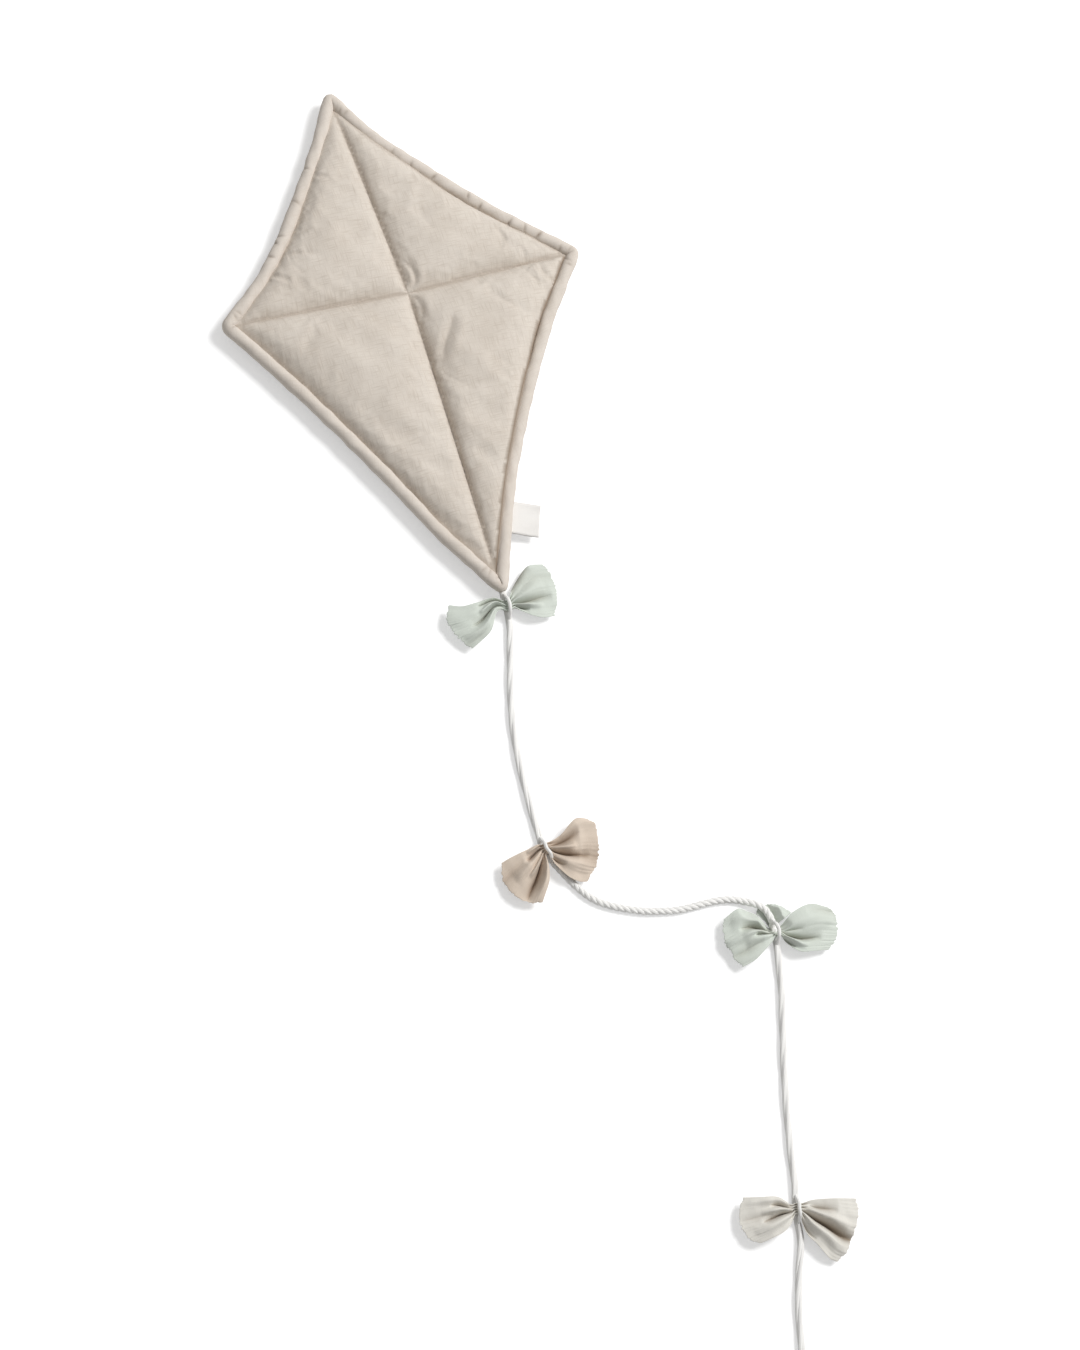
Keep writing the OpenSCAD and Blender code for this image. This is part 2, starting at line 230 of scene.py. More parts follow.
def roundOff(piece):
    rounder = piece.modifiers.new("round", "SUBSURF")
    rounder.levels = 1
    rounder.render_levels = 1


def attach(piece, body, slot, *nodes):
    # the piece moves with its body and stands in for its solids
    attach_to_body(piece, body)
    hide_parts(*nodes)


# Materials: two shared effects, a plain weave and a twisted yarn, placed in each finish
def paint(r, g, b):
    # a colour as a screen shows it, 0 to 255, turned into the even light scale of the materials
    plain = [c / 255 for c in (r, g, b)]
    return [c / 12.92 if c <= 0.04045 else ((c + 0.055) / 1.055) ** 2.4 for c in plain] + [1.0]


def addNode(tree, kind, values=None, **settings):
    node = tree.nodes.new(kind)
    for key, value in settings.items():
        setattr(node, key, value)
    for socket, value in (values or {}).items():
        if isinstance(value, bpy.types.NodeSocket):
            tree.links.new(value, node.inputs[socket])
        else:
            node.inputs[socket].default_value = value
    return node


def mathOut(tree, operation, first, second=0.0, clamp=False):
    node = addNode(tree, "ShaderNodeMath", {0: first, 1: second}, operation=operation, use_clamp=clamp)
    return node.outputs[0]


def rangeOut(tree, value, low, high, toLow=0.0, toHigh=1.0):
    node = addNode(tree, "ShaderNodeMapRange", {0: value, 1: low, 2: high, 3: toLow, 4: toHigh})
    return node.outputs[0]


def noiseOut(tree, place, scale, detail, output=0):
    node = addNode(tree, "ShaderNodeTexNoise", {"Vector": place, "Scale": scale, "Detail": detail})
    return node.outputs[output]


def stretchedNoise(tree, place, across, along, detail=1.0):
    scaled = addNode(tree, "ShaderNodeVectorMath", {0: place, 1: (across, along, 1.0)}, operation="MULTIPLY")
    return noiseOut(tree, scaled.outputs[0], 1.0, detail)


def mixColor(tree, share, first, second, blend="MIX"):
    node = addNode(tree, "ShaderNodeMix", {0: share, 6: first, 7: second}, data_type="RGBA", blend_type=blend)
    return node.outputs[2]


def startGroup(name, inputs):
    tree = bpy.data.node_groups.new(name, "ShaderNodeTree")
    for label, kind in inputs:
        tree.interface.new_socket(label, in_out="INPUT", socket_type="NodeSocket" + kind)
    for label, kind in (("Color", "Color"), ("Roughness", "Float"), ("Height", "Float")):
        tree.interface.new_socket(label, in_out="OUTPUT", socket_type="NodeSocket" + kind)
    return tree, tree.nodes.new("NodeGroupInput").outputs


# Plain weave: threads that wander a little, thick slubs both ways, paler and darker clouds, painted shade in
# the thread gaps and the folds
weaveLook = {
    "wander": 0.0006,
    "wanderScale": 260.0,
    "crossing": 1.6,  # how sharply one thread passes over the other
    "slubLong": 70.0,
    "slubShort": 1300.0,
    "slubFrom": (0.5, 0.72),
    "slubShare": 0.75,
    "slubRise": 0.6,
    "cloudScale": 26.0,
    "cloudDetail": 3.0,
    "cloudFrom": (0.35, 0.7),
    "cloudShare": 0.45,
    "gapReach": 0.6,
    "gapShadeLevel": 0.82,  # painted shade between the threads, as a share of the colour
    "roughen": (0.06, -0.04),  # from the gaps to the threads' tops
    "paintedShadeTint": paint(172, 160, 148),
}


def makeClothWeave(look):
    tree, given = startGroup("clothWeave", (
        ("Threads", "Float"), ("Cloth", "Color"), ("Slub", "Color"), ("Slubs", "Float"), ("Rough", "Float")))
    straight = addNode(tree, "ShaderNodeTexCoord").outputs["UV"]
    wander = noiseOut(tree, straight, look["wanderScale"], 1.0, "Color")
    shift = addNode(tree, "ShaderNodeVectorMath", {0: wander, 1: (look["wander"], look["wander"], 0.0)},
                    operation="MULTIPLY").outputs[0]
    place = addNode(tree, "ShaderNodeVectorMath", {0: straight, 1: shift}).outputs[0]
    split = addNode(tree, "ShaderNodeSeparateXYZ", {0: place}).outputs
    pitch = mathOut(tree, "MULTIPLY", given["Threads"], math.pi)
    warp = mathOut(tree, "SINE", mathOut(tree, "MULTIPLY", split[0], pitch))
    weft = mathOut(tree, "SINE", mathOut(tree, "MULTIPLY", split[1], pitch))
    checks = mathOut(tree, "MULTIPLY", mathOut(tree, "MULTIPLY", warp, weft), look["crossing"])
    over = mathOut(tree, "ADD", checks, 0.5, True)
    weave = addNode(tree, "ShaderNodeMix", {0: over, 2: mathOut(tree, "ABSOLUTE", weft),
                                            3: mathOut(tree, "ABSOLUTE", warp)}).outputs[0]
    longWay = stretchedNoise(tree, place, look["slubLong"], look["slubShort"])
    crossWay = stretchedNoise(tree, place, look["slubShort"], look["slubLong"])
    slub = mathOut(tree, "MAXIMUM", rangeOut(tree, longWay, *look["slubFrom"]),
                   rangeOut(tree, crossWay, *look["slubFrom"]))
    mist = noiseOut(tree, place, look["cloudScale"], look["cloudDetail"])
    cloud = rangeOut(tree, mist, *look["cloudFrom"], 0.0, look["cloudShare"])
    uneven = mathOut(tree, "ADD", mathOut(tree, "MULTIPLY", slub, look["slubShare"]), cloud)
    share = mathOut(tree, "MULTIPLY", uneven, given["Slubs"], True)
    dyed = mixColor(tree, share, given["Cloth"], given["Slub"])
    # painted shade in the gaps between the threads
    gap = rangeOut(tree, weave, 0.0, look["gapReach"], look["gapShadeLevel"], 1.0)
    gapShade = addNode(tree, "ShaderNodeCombineColor", {0: gap, 1: gap, 2: gap}).outputs[0]
    shaded = mixColor(tree, 1.0, dyed, gapShade, "MULTIPLY")
    # painted shade: the fold attribute darkens the colour towards the shade tint
    fold = addNode(tree, "ShaderNodeAttribute", attribute_name="fold").outputs["Fac"]
    shaded = mixColor(tree, fold, shaded, mixColor(tree, 1.0, shaded, look["paintedShadeTint"], "MULTIPLY"))
    rough = mathOut(tree, "ADD", given["Rough"], rangeOut(tree, weave, 0.0, 1.0, *look["roughen"]), True)
    height = mathOut(tree, "ADD", weave, mathOut(tree, "MULTIPLY", slub, look["slubRise"]))
    addNode(tree, "NodeGroupOutput", {"Color": shaded, "Roughness": rough, "Height": height})
    return tree


# Twisted yarn: slanting ridges, painted shade in the hollows between them, fine fibres along them
yarnLook = {
    "ridgeReach": 0.5,
    "hollowShadeShare": 0.55,
    "fibreLong": 24.0,
    "fibreShort": 900.0,
    "fibreDetail": 3.0,
    "fibreFrom": (0.3, 0.7),
    "fibreRise": 0.7,
    "cloudScale": 60.0,
    "cloudDetail": 2.0,
    "cloudFrom": (0.4, 0.7),
    "cloudShare": 0.3,
    "roughen": (-0.05, 0.05),
}


def makeYarnTwist(look):
    tree, given = startGroup("yarnTwist", (
        ("Yarns", "Float"), ("Turns", "Float"), ("Yarn", "Color"), ("HollowShade", "Color"), ("Rough", "Float")))
    place = addNode(tree, "ShaderNodeTexCoord").outputs["UV"]
    split = addNode(tree, "ShaderNodeSeparateXYZ", {0: place}).outputs
    lean = mathOut(tree, "ADD", mathOut(tree, "MULTIPLY", split[0], given["Yarns"]),
                   mathOut(tree, "MULTIPLY", split[1], given["Turns"]))
    ridge = mathOut(tree, "ABSOLUTE", mathOut(tree, "SINE", mathOut(tree, "MULTIPLY", lean, math.pi)))
    fibre = stretchedNoise(tree, place, look["fibreLong"], look["fibreShort"], look["fibreDetail"])
    mist = noiseOut(tree, place, look["cloudScale"], look["cloudDetail"])
    cloud = rangeOut(tree, mist, *look["cloudFrom"], 0.0, look["cloudShare"])
    # painted shade: the hollows between the ridges take the darker hollow colour
    hollowShade = rangeOut(tree, ridge, 0.0, look["ridgeReach"], look["hollowShadeShare"], 0.0)
    dyed = mixColor(tree, mathOut(tree, "ADD", hollowShade, cloud, True), given["Yarn"], given["HollowShade"])
    uneven = rangeOut(tree, fibre, *look["fibreFrom"], *look["roughen"])
    rough = mathOut(tree, "ADD", given["Rough"], uneven, True)
    height = mathOut(tree, "ADD", ridge, mathOut(tree, "MULTIPLY", fibre, look["fibreRise"]))
    addNode(tree, "NodeGroupOutput", {"Color": dyed, "Roughness": rough, "Height": height})
    return tree


# Values that every finish shares: a matt surface with a trace of fluff
mattSurface = {"Specular IOR Level": 0.2, "Sheen Weight": 0.1, "Sheen Roughness": 0.6}
weaveDepth = 0.07  # height of the weave as a share of a thread's width
yarnDepth = 0.00012


def makeFinish(name, group, values, depth):
    material = bpy.data.materials.new(name)
    material.use_nodes = True
    tree = material.node_tree
    shader = tree.nodes["Principled BSDF"]
    effect = addNode(tree, "ShaderNodeGroup", node_tree=group)
    for label, value in values.items():
        effect.inputs[label].default_value = value
    relief = addNode(tree, "ShaderNodeBump", {"Distance": depth, "Height": effect.outputs["Height"]})
    tree.links.new(effect.outputs["Color"], shader.inputs["Base Color"])
    tree.links.new(effect.outputs["Roughness"], shader.inputs["Roughness"])
    tree.links.new(relief.outputs[0], shader.inputs["Normal"])
    for label, value in mattSurface.items():
        shader.inputs[label].default_value = value
    return material


clothWeave = makeClothWeave(weaveLook)
yarnTwist = makeYarnTwist(yarnLook)

clothFinishes = {
    "linen": {"Threads": 1250.0, "Cloth": paint(222, 213, 202), "Slub": paint(189, 176, 161),
              "Slubs": 0.55, "Rough": 0.86},
    "pipingLinen": {"Threads": 1250.0, "Cloth": paint(222, 213, 203), "Slub": paint(203, 191, 177),
                    "Slubs": 0.5, "Rough": 0.86},
    "mintCloth": {"Threads": 2000.0, "Cloth": paint(214, 220, 211), "Slub": paint(203, 210, 199),
                  "Slubs": 0.4, "Rough": 0.8},
    "taupeCloth": {"Threads": 1900.0, "Cloth": paint(223, 208, 192), "Slub": paint(207, 190, 172),
                   "Slubs": 0.4, "Rough": 0.8},
    "greigeCloth": {"Threads": 1700.0, "Cloth": paint(230, 227, 219), "Slub": paint(218, 213, 203),
                    "Slubs": 0.45, "Rough": 0.84},
    "tagTape": {"Threads": 2400.0, "Cloth": paint(242, 239, 235), "Slub": paint(233, 228, 222),
                "Slubs": 0.3, "Rough": 0.78},
}
# each cord's hollow colour is painted shade between its ridges
yarnFinishes = {
    "cottonCord": {"Yarns": 7.0, "Turns": -55.0, "Yarn": paint(245, 244, 241),
                   "HollowShade": paint(234, 232, 229), "Rough": 0.85},
    "loopCord": {"Yarns": 6.0, "Turns": 160.0, "Yarn": paint(226, 219, 208),
                 "HollowShade": paint(198, 189, 176), "Rough": 0.85},
    "linenThread": {"Yarns": 2.0, "Turns": 700.0, "Yarn": paint(194, 184, 172),
                    "HollowShade": paint(168, 156, 143), "Rough": 0.7},
}
finish = {}
for name, values in clothFinishes.items():
    finish[name] = makeFinish(name, clothWeave, values, weaveDepth / values["Threads"])
for name, values in yarnFinishes.items():
    finish[name] = makeFinish(name, yarnTwist, values, yarnDepth)
print("finishes made:", len(finish))

# Tail: a three-strand cord in four stretches, each from one knot to the next
tail = {
    "diameter": 0.006,
    "lay": 0.0165,  # one full turn of the strands
    "lays": [0.100, 0.0165, 0.110, 0.110],  # looser where the cord hangs straight
    "strands": 3,
    "strand": 0.62,  # strand radius as a share of the cord's radius
    "sides": 10,
    "step": 0.0011,
    "corner": (0.0, -0.225),
    "knots": [(0.0, -0.009), (-0.036, -0.207), (0.124, -0.319), (0.064, -0.529)],
    "stop": (0.022, -0.685),
    "inner": 0.022,  # how far the sewn-in end reaches behind the lower corner
    "innerHeight": 0.0047,
    "bendReach": 0.004,  # the sewn-in end comes down to the floor within this, either side of the corner
    "bendHeight": 0.0038,
    "turn": 1.3,  # how far the strands start further round in each stretch
    "innerTurn": 0.6,
    "waistHeight": 0.009,
    "overCloth": 0.0027,  # how far the second cord rises where it lies on the third bow
    "overFrom": (0.040, 0.024),  # it rises between these lengths from the knot
    "overTo": (0.0085, 0.0045),  # and goes back down under the bow's waist between these
}
# Points that each stretch passes on the floor, from the kite's lower corner
routes = [
    [(-0.003, -0.025), (-0.010, -0.047), (-0.018, -0.071), (-0.025, -0.095), (-0.030, -0.120),
     (-0.033, -0.145), (-0.035, -0.175)],
    [(-0.023, -0.235), (-0.012, -0.252), (0.002, -0.263), (0.023, -0.273), (0.036, -0.277),
     (0.055, -0.281), (0.082, -0.282), (0.096, -0.284), (0.108, -0.289), (0.119, -0.297), (0.123, -0.306)],
    [(0.114, -0.360), (0.104, -0.391), (0.094, -0.421), (0.085, -0.451), (0.077, -0.481), (0.070, -0.511)],
    [(0.060, -0.551), (0.050, -0.575), (0.042, -0.595), (0.032, -0.629), (0.026, -0.655)],
]
# Barrel knot at the tail's end: the cord takes three turns round itself, then a combed tuft
endKnot = {
    "length": 0.015,
    "width": 0.015,
    "overlap": 0.002,  # the cord runs on this far into the knot
    "lookBack": 12,  # the cord's last points, which set the knot's direction
    "turns": 3.3,
    "pitchedTurns": 2.4,  # how many of them the winding moves on along the cord
    "wind": 0.0046,
    "pitch": 0.0044,
    "points": 90,
    "pulled": 0.93,  # the turns are pulled thinner than the cord
    "corePulled": 0.95,
    "core": [(-0.007, -0.003), (0.0, 0.0), (0.010, -0.002)],  # along the cord and up, from the knot's middle
    "tuft": 0.022,
    "hairs": 46,
    "hair": 0.00035,
    "hairSides": 5,
    "shortest": 0.75,  # share of the tuft's length
    "rootLow": 0.7,  # share of the hairs' lift that lies below the knot's middle
    "root": (0.008, 0.002, 0.003),  # along, spread and lift of the hairs where they leave the knot
    "tip": (0.0075, 0.0065, 0.004),  # and at their ends
    "tipHeight": 0.0006,
    "arch": 0.0012,  # how far each hair's middle is raised and swayed
    "sway": 0.001,
    "hairStep": 0.0022,
    "seed": 5,
}
cordRadius = tail["diameter"] / 2
strandRadius = cordRadius * tail["strand"]
knotPlaces = [np.array((tail["corner"][0] + x, tail["corner"][1] + y)) for x, y in tail["knots"]]
stopPlace = np.array(tail["corner"]) + np.array(tail["stop"])


def addRope(shape, path, radius, lay, phase=0.0):
    # strands wound round the path, each a round tube with its own domed ends
    heading, side, up = lineFrames(path)
    along = lengthsAlong(path)
    strand = radius * tail["strand"]
    for k in range(tail["strands"]):
        angle = 2 * math.pi * (along / lay + k / tail["strands"]) + phase
        middle = path + (radius - strand) * (np.cos(angle)[:, None] * side + np.sin(angle)[:, None] * up)
        addTube(shape, middle, strand, tail["sides"])


def overShare(left):
    # how fully the second cord lies on the third bow, by the length left to the knot
    up = np.clip((tail["overFrom"][0] - left) / (tail["overFrom"][0] - tail["overFrom"][1]), 0, 1)
    down = np.clip((left - tail["overTo"][1]) / (tail["overTo"][0] - tail["overTo"][1]), 0, 1)
    share = np.minimum(up, down)
    return share * share * (3 - 2 * share)


def cordPath(n):
    # from pivot to pivot on the floor, just under the cloth of each bow's waist
    last = (knotPlaces + [stopPlace])[n + 1]
    points = [knotPlaces[n]] + [np.array(tail["corner"]) + np.array(p) for p in routes[n]] + [last]
    points = [(x, y, cordRadius) for x, y in points]
    path = smoothLine(points, tail["step"])
    left = lengthsAlong(path)[-1] - lengthsAlong(path)
    if n == 1:
        path[:, 2] += tail["overCloth"] * overShare(left)
    if n == 3:
        path = path[left > endKnot["length"] / 2 - endKnot["overlap"]]
    return path


cordBodies = ["tail_1", "tail_2", "tail_3", "tail_4"]
cordPaths = [cordPath(n) for n in range(4)]
for n, path in enumerate(cordPaths):
    shape = newShape()
    addRope(shape, path, cordRadius, tail["lays"][n], phase=tail["turn"] * n)
    piece = addMesh(f"tailCord{n + 1}", shape, finish["cottonCord"])
    attach(piece, cordBodies[n], "tail_cotton", f"tail_cord_{n + 1}")

shape = newShape()
cornerY = tail["corner"][1]
innerPath = smoothLine([(0, cornerY + tail["inner"], tail["innerHeight"]),
                        (0, cornerY + tail["bendReach"], tail["innerHeight"]),
                        (0, cornerY - tail["bendReach"], tail["bendHeight"]),
                        (*knotPlaces[0], cordRadius)], tail["step"])
addRope(shape, innerPath, cordRadius, tail["lay"], phase=tail["innerTurn"])
tailEnd = addMesh("tailEnd", shape, finish["cottonCord"])
attach(tailEnd, "kite", "tail_cotton", "tail_end")
print("cords laid:", [round(float(lengthsAlong(p)[-1]), 3) for p in cordPaths])

# One strand of the cord crosses over each bow's waist and holds it
overStrand = {
    "reach": 0.0105,  # along the cord, to each side of the knot
    "rise": 0.0042,  # above the waist
    "start": 0.0012,  # above the cord's middle
    "thin": 0.80,
    "sides": 12,
    "step": 0.0008,
    "arch": [(1.0, 0.0), (0.66, 0.55), (0.40, 0.93)],  # shares of the reach and of the way up
}
bowBodies = ["first_bow", "second_bow", "third_bow", "fourth_bow"]


def archSide(path, top):
    # from inside the cord up towards the waist, along the cord's own line away from the knot
    along = lengthsAlong(path)
    side = []
    for share, up in overStrand["arch"]:
        place = [np.interp(share * overStrand["reach"], along, path[:, k]) for k in range(3)]
        low = place[2] + overStrand["start"]
        side.append((place[0], place[1], low + up * (top - low)))
    return side


for n, place in enumerate(knotPlaces):
    top = tail["waistHeight"] + overStrand["rise"]
    before = archSide((innerPath if n == 0 else cordPaths[n - 1])[::-1], top)
    points = before + [(*place, top)] + archSide(cordPaths[n], top)[::-1]
    shape = newShape()
    line = smoothLine(points, overStrand["step"])
    addTube(shape, line, strandRadius * overStrand["thin"], overStrand["sides"])
    piece = addMesh(f"knotStrand{n + 1}", shape, finish["cottonCord"])
    attach(piece, bowBodies[n], "tail_cotton", f"knot_{n + 1}")


def makeEndKnot(knot):
    shape = newShape()
    way = np.array((*(stopPlace - cordPaths[3][-knot["lookBack"], :2]), 0.0))
    way = way / np.linalg.norm(way)
    side = np.cross(way, (0, 0, 1))
    middle = np.array((*stopPlace, knot["width"] / 2))
    t = np.linspace(0, 1, knot["points"])
    angle = 2 * math.pi * knot["turns"] * t
    winding = (middle + np.outer((t - 0.5) * knot["pitch"] * knot["pitchedTurns"], way)
               + knot["wind"] * (np.outer(np.cos(angle), side) + np.outer(np.sin(angle), (0, 0, 1))))
    addRope(shape, winding, cordRadius * knot["pulled"], tail["lay"])
    core = [cordPaths[3][-1]] + [middle + way * along + np.array((0, 0, up)) for along, up in knot["core"]]
    addRope(shape, smoothLine(core, tail["step"]), cordRadius * knot["corePulled"], tail["lay"])
    rng = np.random.default_rng(knot["seed"])
    for _ in range(knot["hairs"]):
        spread = rng.uniform(-1, 1)
        lift = rng.uniform(0, 1)
        reach = knot["tuft"] * rng.uniform(knot["shortest"], 1)
        out, wide, high = knot["root"]
        root = middle + way * out + side * spread * wide + np.array((0, 0, high * (lift - knot["rootLow"])))
        out, wide, high = knot["tip"]
        tip = middle + way * (out + reach) + side * spread * wide
        tip[2] = knot["tipHeight"] + high * lift
        half = (root + tip) / 2 + side * rng.uniform(-1, 1) * knot["sway"] + np.array((0, 0, knot["arch"]))
        addTube(shape, smoothLine([root, half, tip], knot["hairStep"]), knot["hair"], knot["hairSides"])
    piece = addMesh("endKnot", shape, finish["cottonCord"])
    attach(piece, "tail_4", "tail_cotton", "end_knot")
    return piece


endKnotPiece = makeEndKnot(endKnot)
print("knots tied")

# Kite: a padded diamond, quilted along its spine and its spar
kite = {
    "corners": [(-0.0070, 0.2110), (0.1435, 0.0440), (-0.0030, -0.2070), (-0.1430, 0.0445)],
    "crossing": (0.0025, 0.0400),
    "bends": [0.0010, 0.0025, 0.0010, 0.0040],  # radius of the piping's middle at each corner
    "drawAt": [0, 0.1, 0.2, 0.35, 0.5, 0.7, 0.85, 1],  # shares of a side's length
    "draws": [  # millimetres that each side pulls in there, from the top round by the right
        [0, 5.0, 8.0, 8.5, 8.5, 7.0, 4.0, 0], [0, 4.2, 8.2, 10.8, 12.2, 10.9, 6.6, 0],
        [0, -1.0, -1.5, 1.0, 2.5, 3.0, 2.0, 0], [0, 5.0, 9.0, 11.0, 10.5, 8.0, 5.0, 0]],
    "drawStep": 0.005,
    "sideSteps": 200,
    "rimSteps": 160,
    "cornerSteps": 12,
    "midHeight": 0.013,
    "upperCrown": 0.0115,
    "lowerCrown": 0.0135,
    "seamHalf": 0.0018,  # half of the thickness along a seam, and where the seam meets the side
    "rimHalf": 0.0008,
    "thinning": 6,  # the higher, the nearer to the side it thins
    "backShare": 0.8,  # how far the back stands out, as a share of the front
    "pipingRadius": 0.0055,
    "cornerRadius": 0.0057,  # from the panel's edge to the piping's middle
    "seamRise": [(0.45, 0.0035), (0.55, 0.014)],  # shares of the rise beside a seam and how soon each comes
    "rimRise": [(0.72, 0.0045), (0.28, 0.018)],
    "rimSteeper": [1.0, 1.0, 0.65, 1.0],  # the lower left side rises more gently
    "gridSeed": 3,
    "jitter": 0.12,  # shares of the grid's step
    "leastGap": 0.62,
    "inside": 0.999,  # share of the way out to the side
    "grid": 0.0030,
    "fineGrid": 0.0016,  # beside the creases
    "fineReach": 0.0046,
    "sameSpot": 0.0000001,
    "onLine": 0.00001,  # a point this near a seam's line is sewn down
    "fullShadeAt": 0.009,  # a crease this deep gets the full painted shade
    "sideShades": [0.3, 1.0, 0.4, 0.1],  # painted shade in the groove beside the piping, most on the lower right
    # painted shade along the seams
    "seamShade": 0.45,
}
corners = np.array(kite["corners"])
crossing = np.array(kite["crossing"])
drawLines = [smoothLine(list(zip(kite["drawAt"], np.array(row) * mm)), kite["drawStep"])
             for row in kite["draws"]]


def sideNormal(q):
    run = corners[(q + 1) % 4] - corners[q]
    return np.array((-run[1], run[0])) / np.linalg.norm(run)


def sidePoint(q, t):
    # point on a side of the panel, drawn in towards the middle, t from 0 to 1
    t = np.asarray(t, float)
    chord = corners[q] + (corners[(q + 1) % 4] - corners[q]) * t[..., None]
    draw = np.interp(t, drawLines[q][:, 0], drawLines[q][:, 1])
    return chord - sideNormal(q) * draw[..., None]


def sideLine(q, step):
    fine = sidePoint(q, np.linspace(0, 1, kite["sideSteps"]))
    return evenLine(fine, step)


def panelPlace(x, y):
    # for each point: its quarter, how far out it is, and its distance from the nearest seams and side
    rel = np.stack([x, y], axis=-1) - crossing
    arms = corners - crossing
    shares = [np.linalg.solve(np.stack([arms[q], arms[(q + 1) % 4]], axis=1), rel.T).T for q in range(4)]
    quarter = np.argmax([share.min(axis=1) for share in shares], axis=0)
    out = np.zeros(len(x))
    gaps = np.zeros((len(x), 3))
    for q in range(4):
        here = quarter == q
        a, b = arms[q], arms[(q + 1) % 4]
        share = shares[q][here]
        total = np.maximum(share.sum(1), tiny)
        t = np.clip(share[:, 1] / total, 0, 1)
        chord = a + (b - a) * t[:, None]
        reach = np.linalg.norm(sidePoint(q, t) - crossing, axis=1)
        reach = reach / np.maximum(np.linalg.norm(chord, axis=1), tiny)
        out[here] = np.clip(total / reach, 0, 1)
        area = abs(a[0] * b[1] - a[1] * b[0])
        gaps[here, 0] = np.maximum(0, share[:, 1]) * area / np.linalg.norm(a)
        gaps[here, 1] = np.maximum(0, share[:, 0]) * area / np.linalg.norm(b)
        gaps[here, 2] = np.maximum(0, reach - total) * area / np.linalg.norm(b - a)
    return quarter, out, gaps


def seamLift(out):
    return kite["seamHalf"] + (kite["rimHalf"] - kite["seamHalf"]) * out ** kite["thinning"]


def crownLift(quarter, gaps):
    # steep beside the seams and the piping, nearly level between them
    crown = np.where((quarter == 0) | (quarter == 3), kite["upperCrown"], kite["lowerCrown"])
    gaps = gaps.copy()
    gaps[:, 2] *= np.array(kite["rimSteeper"])[quarter]
    for k, steps in enumerate((kite["seamRise"], kite["seamRise"], kite["rimRise"])):
        crown = crown * sum(share * (1 - np.exp(-gaps[:, k] / reach)) for share, reach in steps)
    return crown


def padGrid():
    # flat triangles of even size, with edges along the sides and along the four seams
    points, edges, rims = [crossing], [], []
    for q in range(4):
        line = sideLine(q, kite["grid"])[:-1]
        rims.extend(range(len(points), len(points) + len(line)))
        points.extend(line)
    edges += [(rims[i], rims[(i + 1) % len(rims)]) for i in range(len(rims))]
    cornerIndex = []
    for q in range(4):
        cornerIndex.append(int(np.argmin(np.linalg.norm(np.array(points) - corners[q], axis=1))))
    for q in range(4):
        line = evenLine(np.array([crossing, corners[q]]), kite["grid"])[1:-1]
        chain = [0] + list(range(len(points), len(points) + len(line))) + [cornerIndex[q]]
        points.extend(line)
        edges += list(zip(chain[:-1], chain[1:]))
    rng = np.random.default_rng(kite["gridSeed"])
    low, high = corners.min(axis=0), corners.max(axis=0)
    for step, reach in ((kite["fineGrid"], kite["fineReach"]), (kite["grid"], math.inf)):
        fixed = np.array(points)
        for r, y in enumerate(np.arange(low[1], high[1], step * math.sqrt(3) / 2)):
            xs = np.arange(low[0], high[0], step) + (r % 2) * step / 2
            row = np.stack([xs, np.full(len(xs), y)], axis=1)
            row = row + rng.uniform(-kite["jitter"], kite["jitter"], (len(xs), 2)) * step
            row = row[creaseGap(row) < reach]
            if len(row) == 0:
                continue
            out = panelPlace(row[:, 0], row[:, 1])[1]
            gap = np.array([np.min(np.linalg.norm(fixed - p, axis=1)) for p in row])
            points.extend(row[(out < kite["inside"]) & (gap > kite["leastGap"] * step)])
    verts, _, faces, _, _, _ = delaunay_2d_cdt([Vector(p) for p in points], edges, [], 1, kite["sameSpot"])
    return np.array([tuple(v) for v in verts]), [tuple(f) for f in faces]


def inflate(piece, pinned, cloth):
    group = piece.vertex_groups.new(name="sewn")
    group.add([int(i) for i in pinned], 1.0, "REPLACE")
    modifier = piece.modifiers.new("fill", "CLOTH")
    settings = modifier.settings
    settings.quality = cloth["quality"]
    settings.mass = cloth["mass"]
    settings.tension_stiffness = cloth["tension"]
    settings.compression_stiffness = cloth["tension"]
    settings.shear_stiffness = cloth["shear"]
    settings.bending_stiffness = cloth["bending"]
    settings.air_damping = cloth["air"]
    settings.vertex_group_mass = group.name
    settings.use_pressure = True
    settings.uniform_pressure_force = cloth["pressure"]
    settings.shrink_min = -cloth["slack"]
    settings.effector_weights.gravity = 0
    modifier.collision_settings.use_collision = False
    modifier.point_cache.frame_start = 1
    modifier.point_cache.frame_end = cloth["frames"]
    for step in range(1, cloth["frames"] + 1):
        scene.frame_set(step)
    shown = piece.evaluated_get(bpy.context.evaluated_depsgraph_get())
    moved = np.zeros(len(piece.data.vertices) * 3, np.float32)
    shown.data.vertices.foreach_get("co", moved)
    piece.modifiers.remove(modifier)
    scene.frame_set(1)
    return moved.reshape(-1, 3).astype(float)


# Cloth that the wadding fills: it starts near its full height, and no point moves further than the most
padCloth = {
    "quality": 5,
    "mass": 0.25,
    "tension": 20.0,
    "shear": 8.0,
    "bending": 3.0,
    "air": 6.0,
    "pressure": 1.0,
    "slack": 0.006,
    "frames": 18,
    "start": 0.97,
    "most": 0.003,
    "fill": 0.6,
    "lowest": 0.0002,
}
# Short gathers in the panels where the piping is sewn in
gathers = {"seed": 31, "waves": 6, "deep": 0.0006, "reach": 0.008, "longest": 0.026, "shortest": 0.008}
# Slow lumps of the wadding under the front
lumps = {"seed": 12, "waves": 7, "deep": 0.0005, "longest": 0.060, "shortest": 0.022}
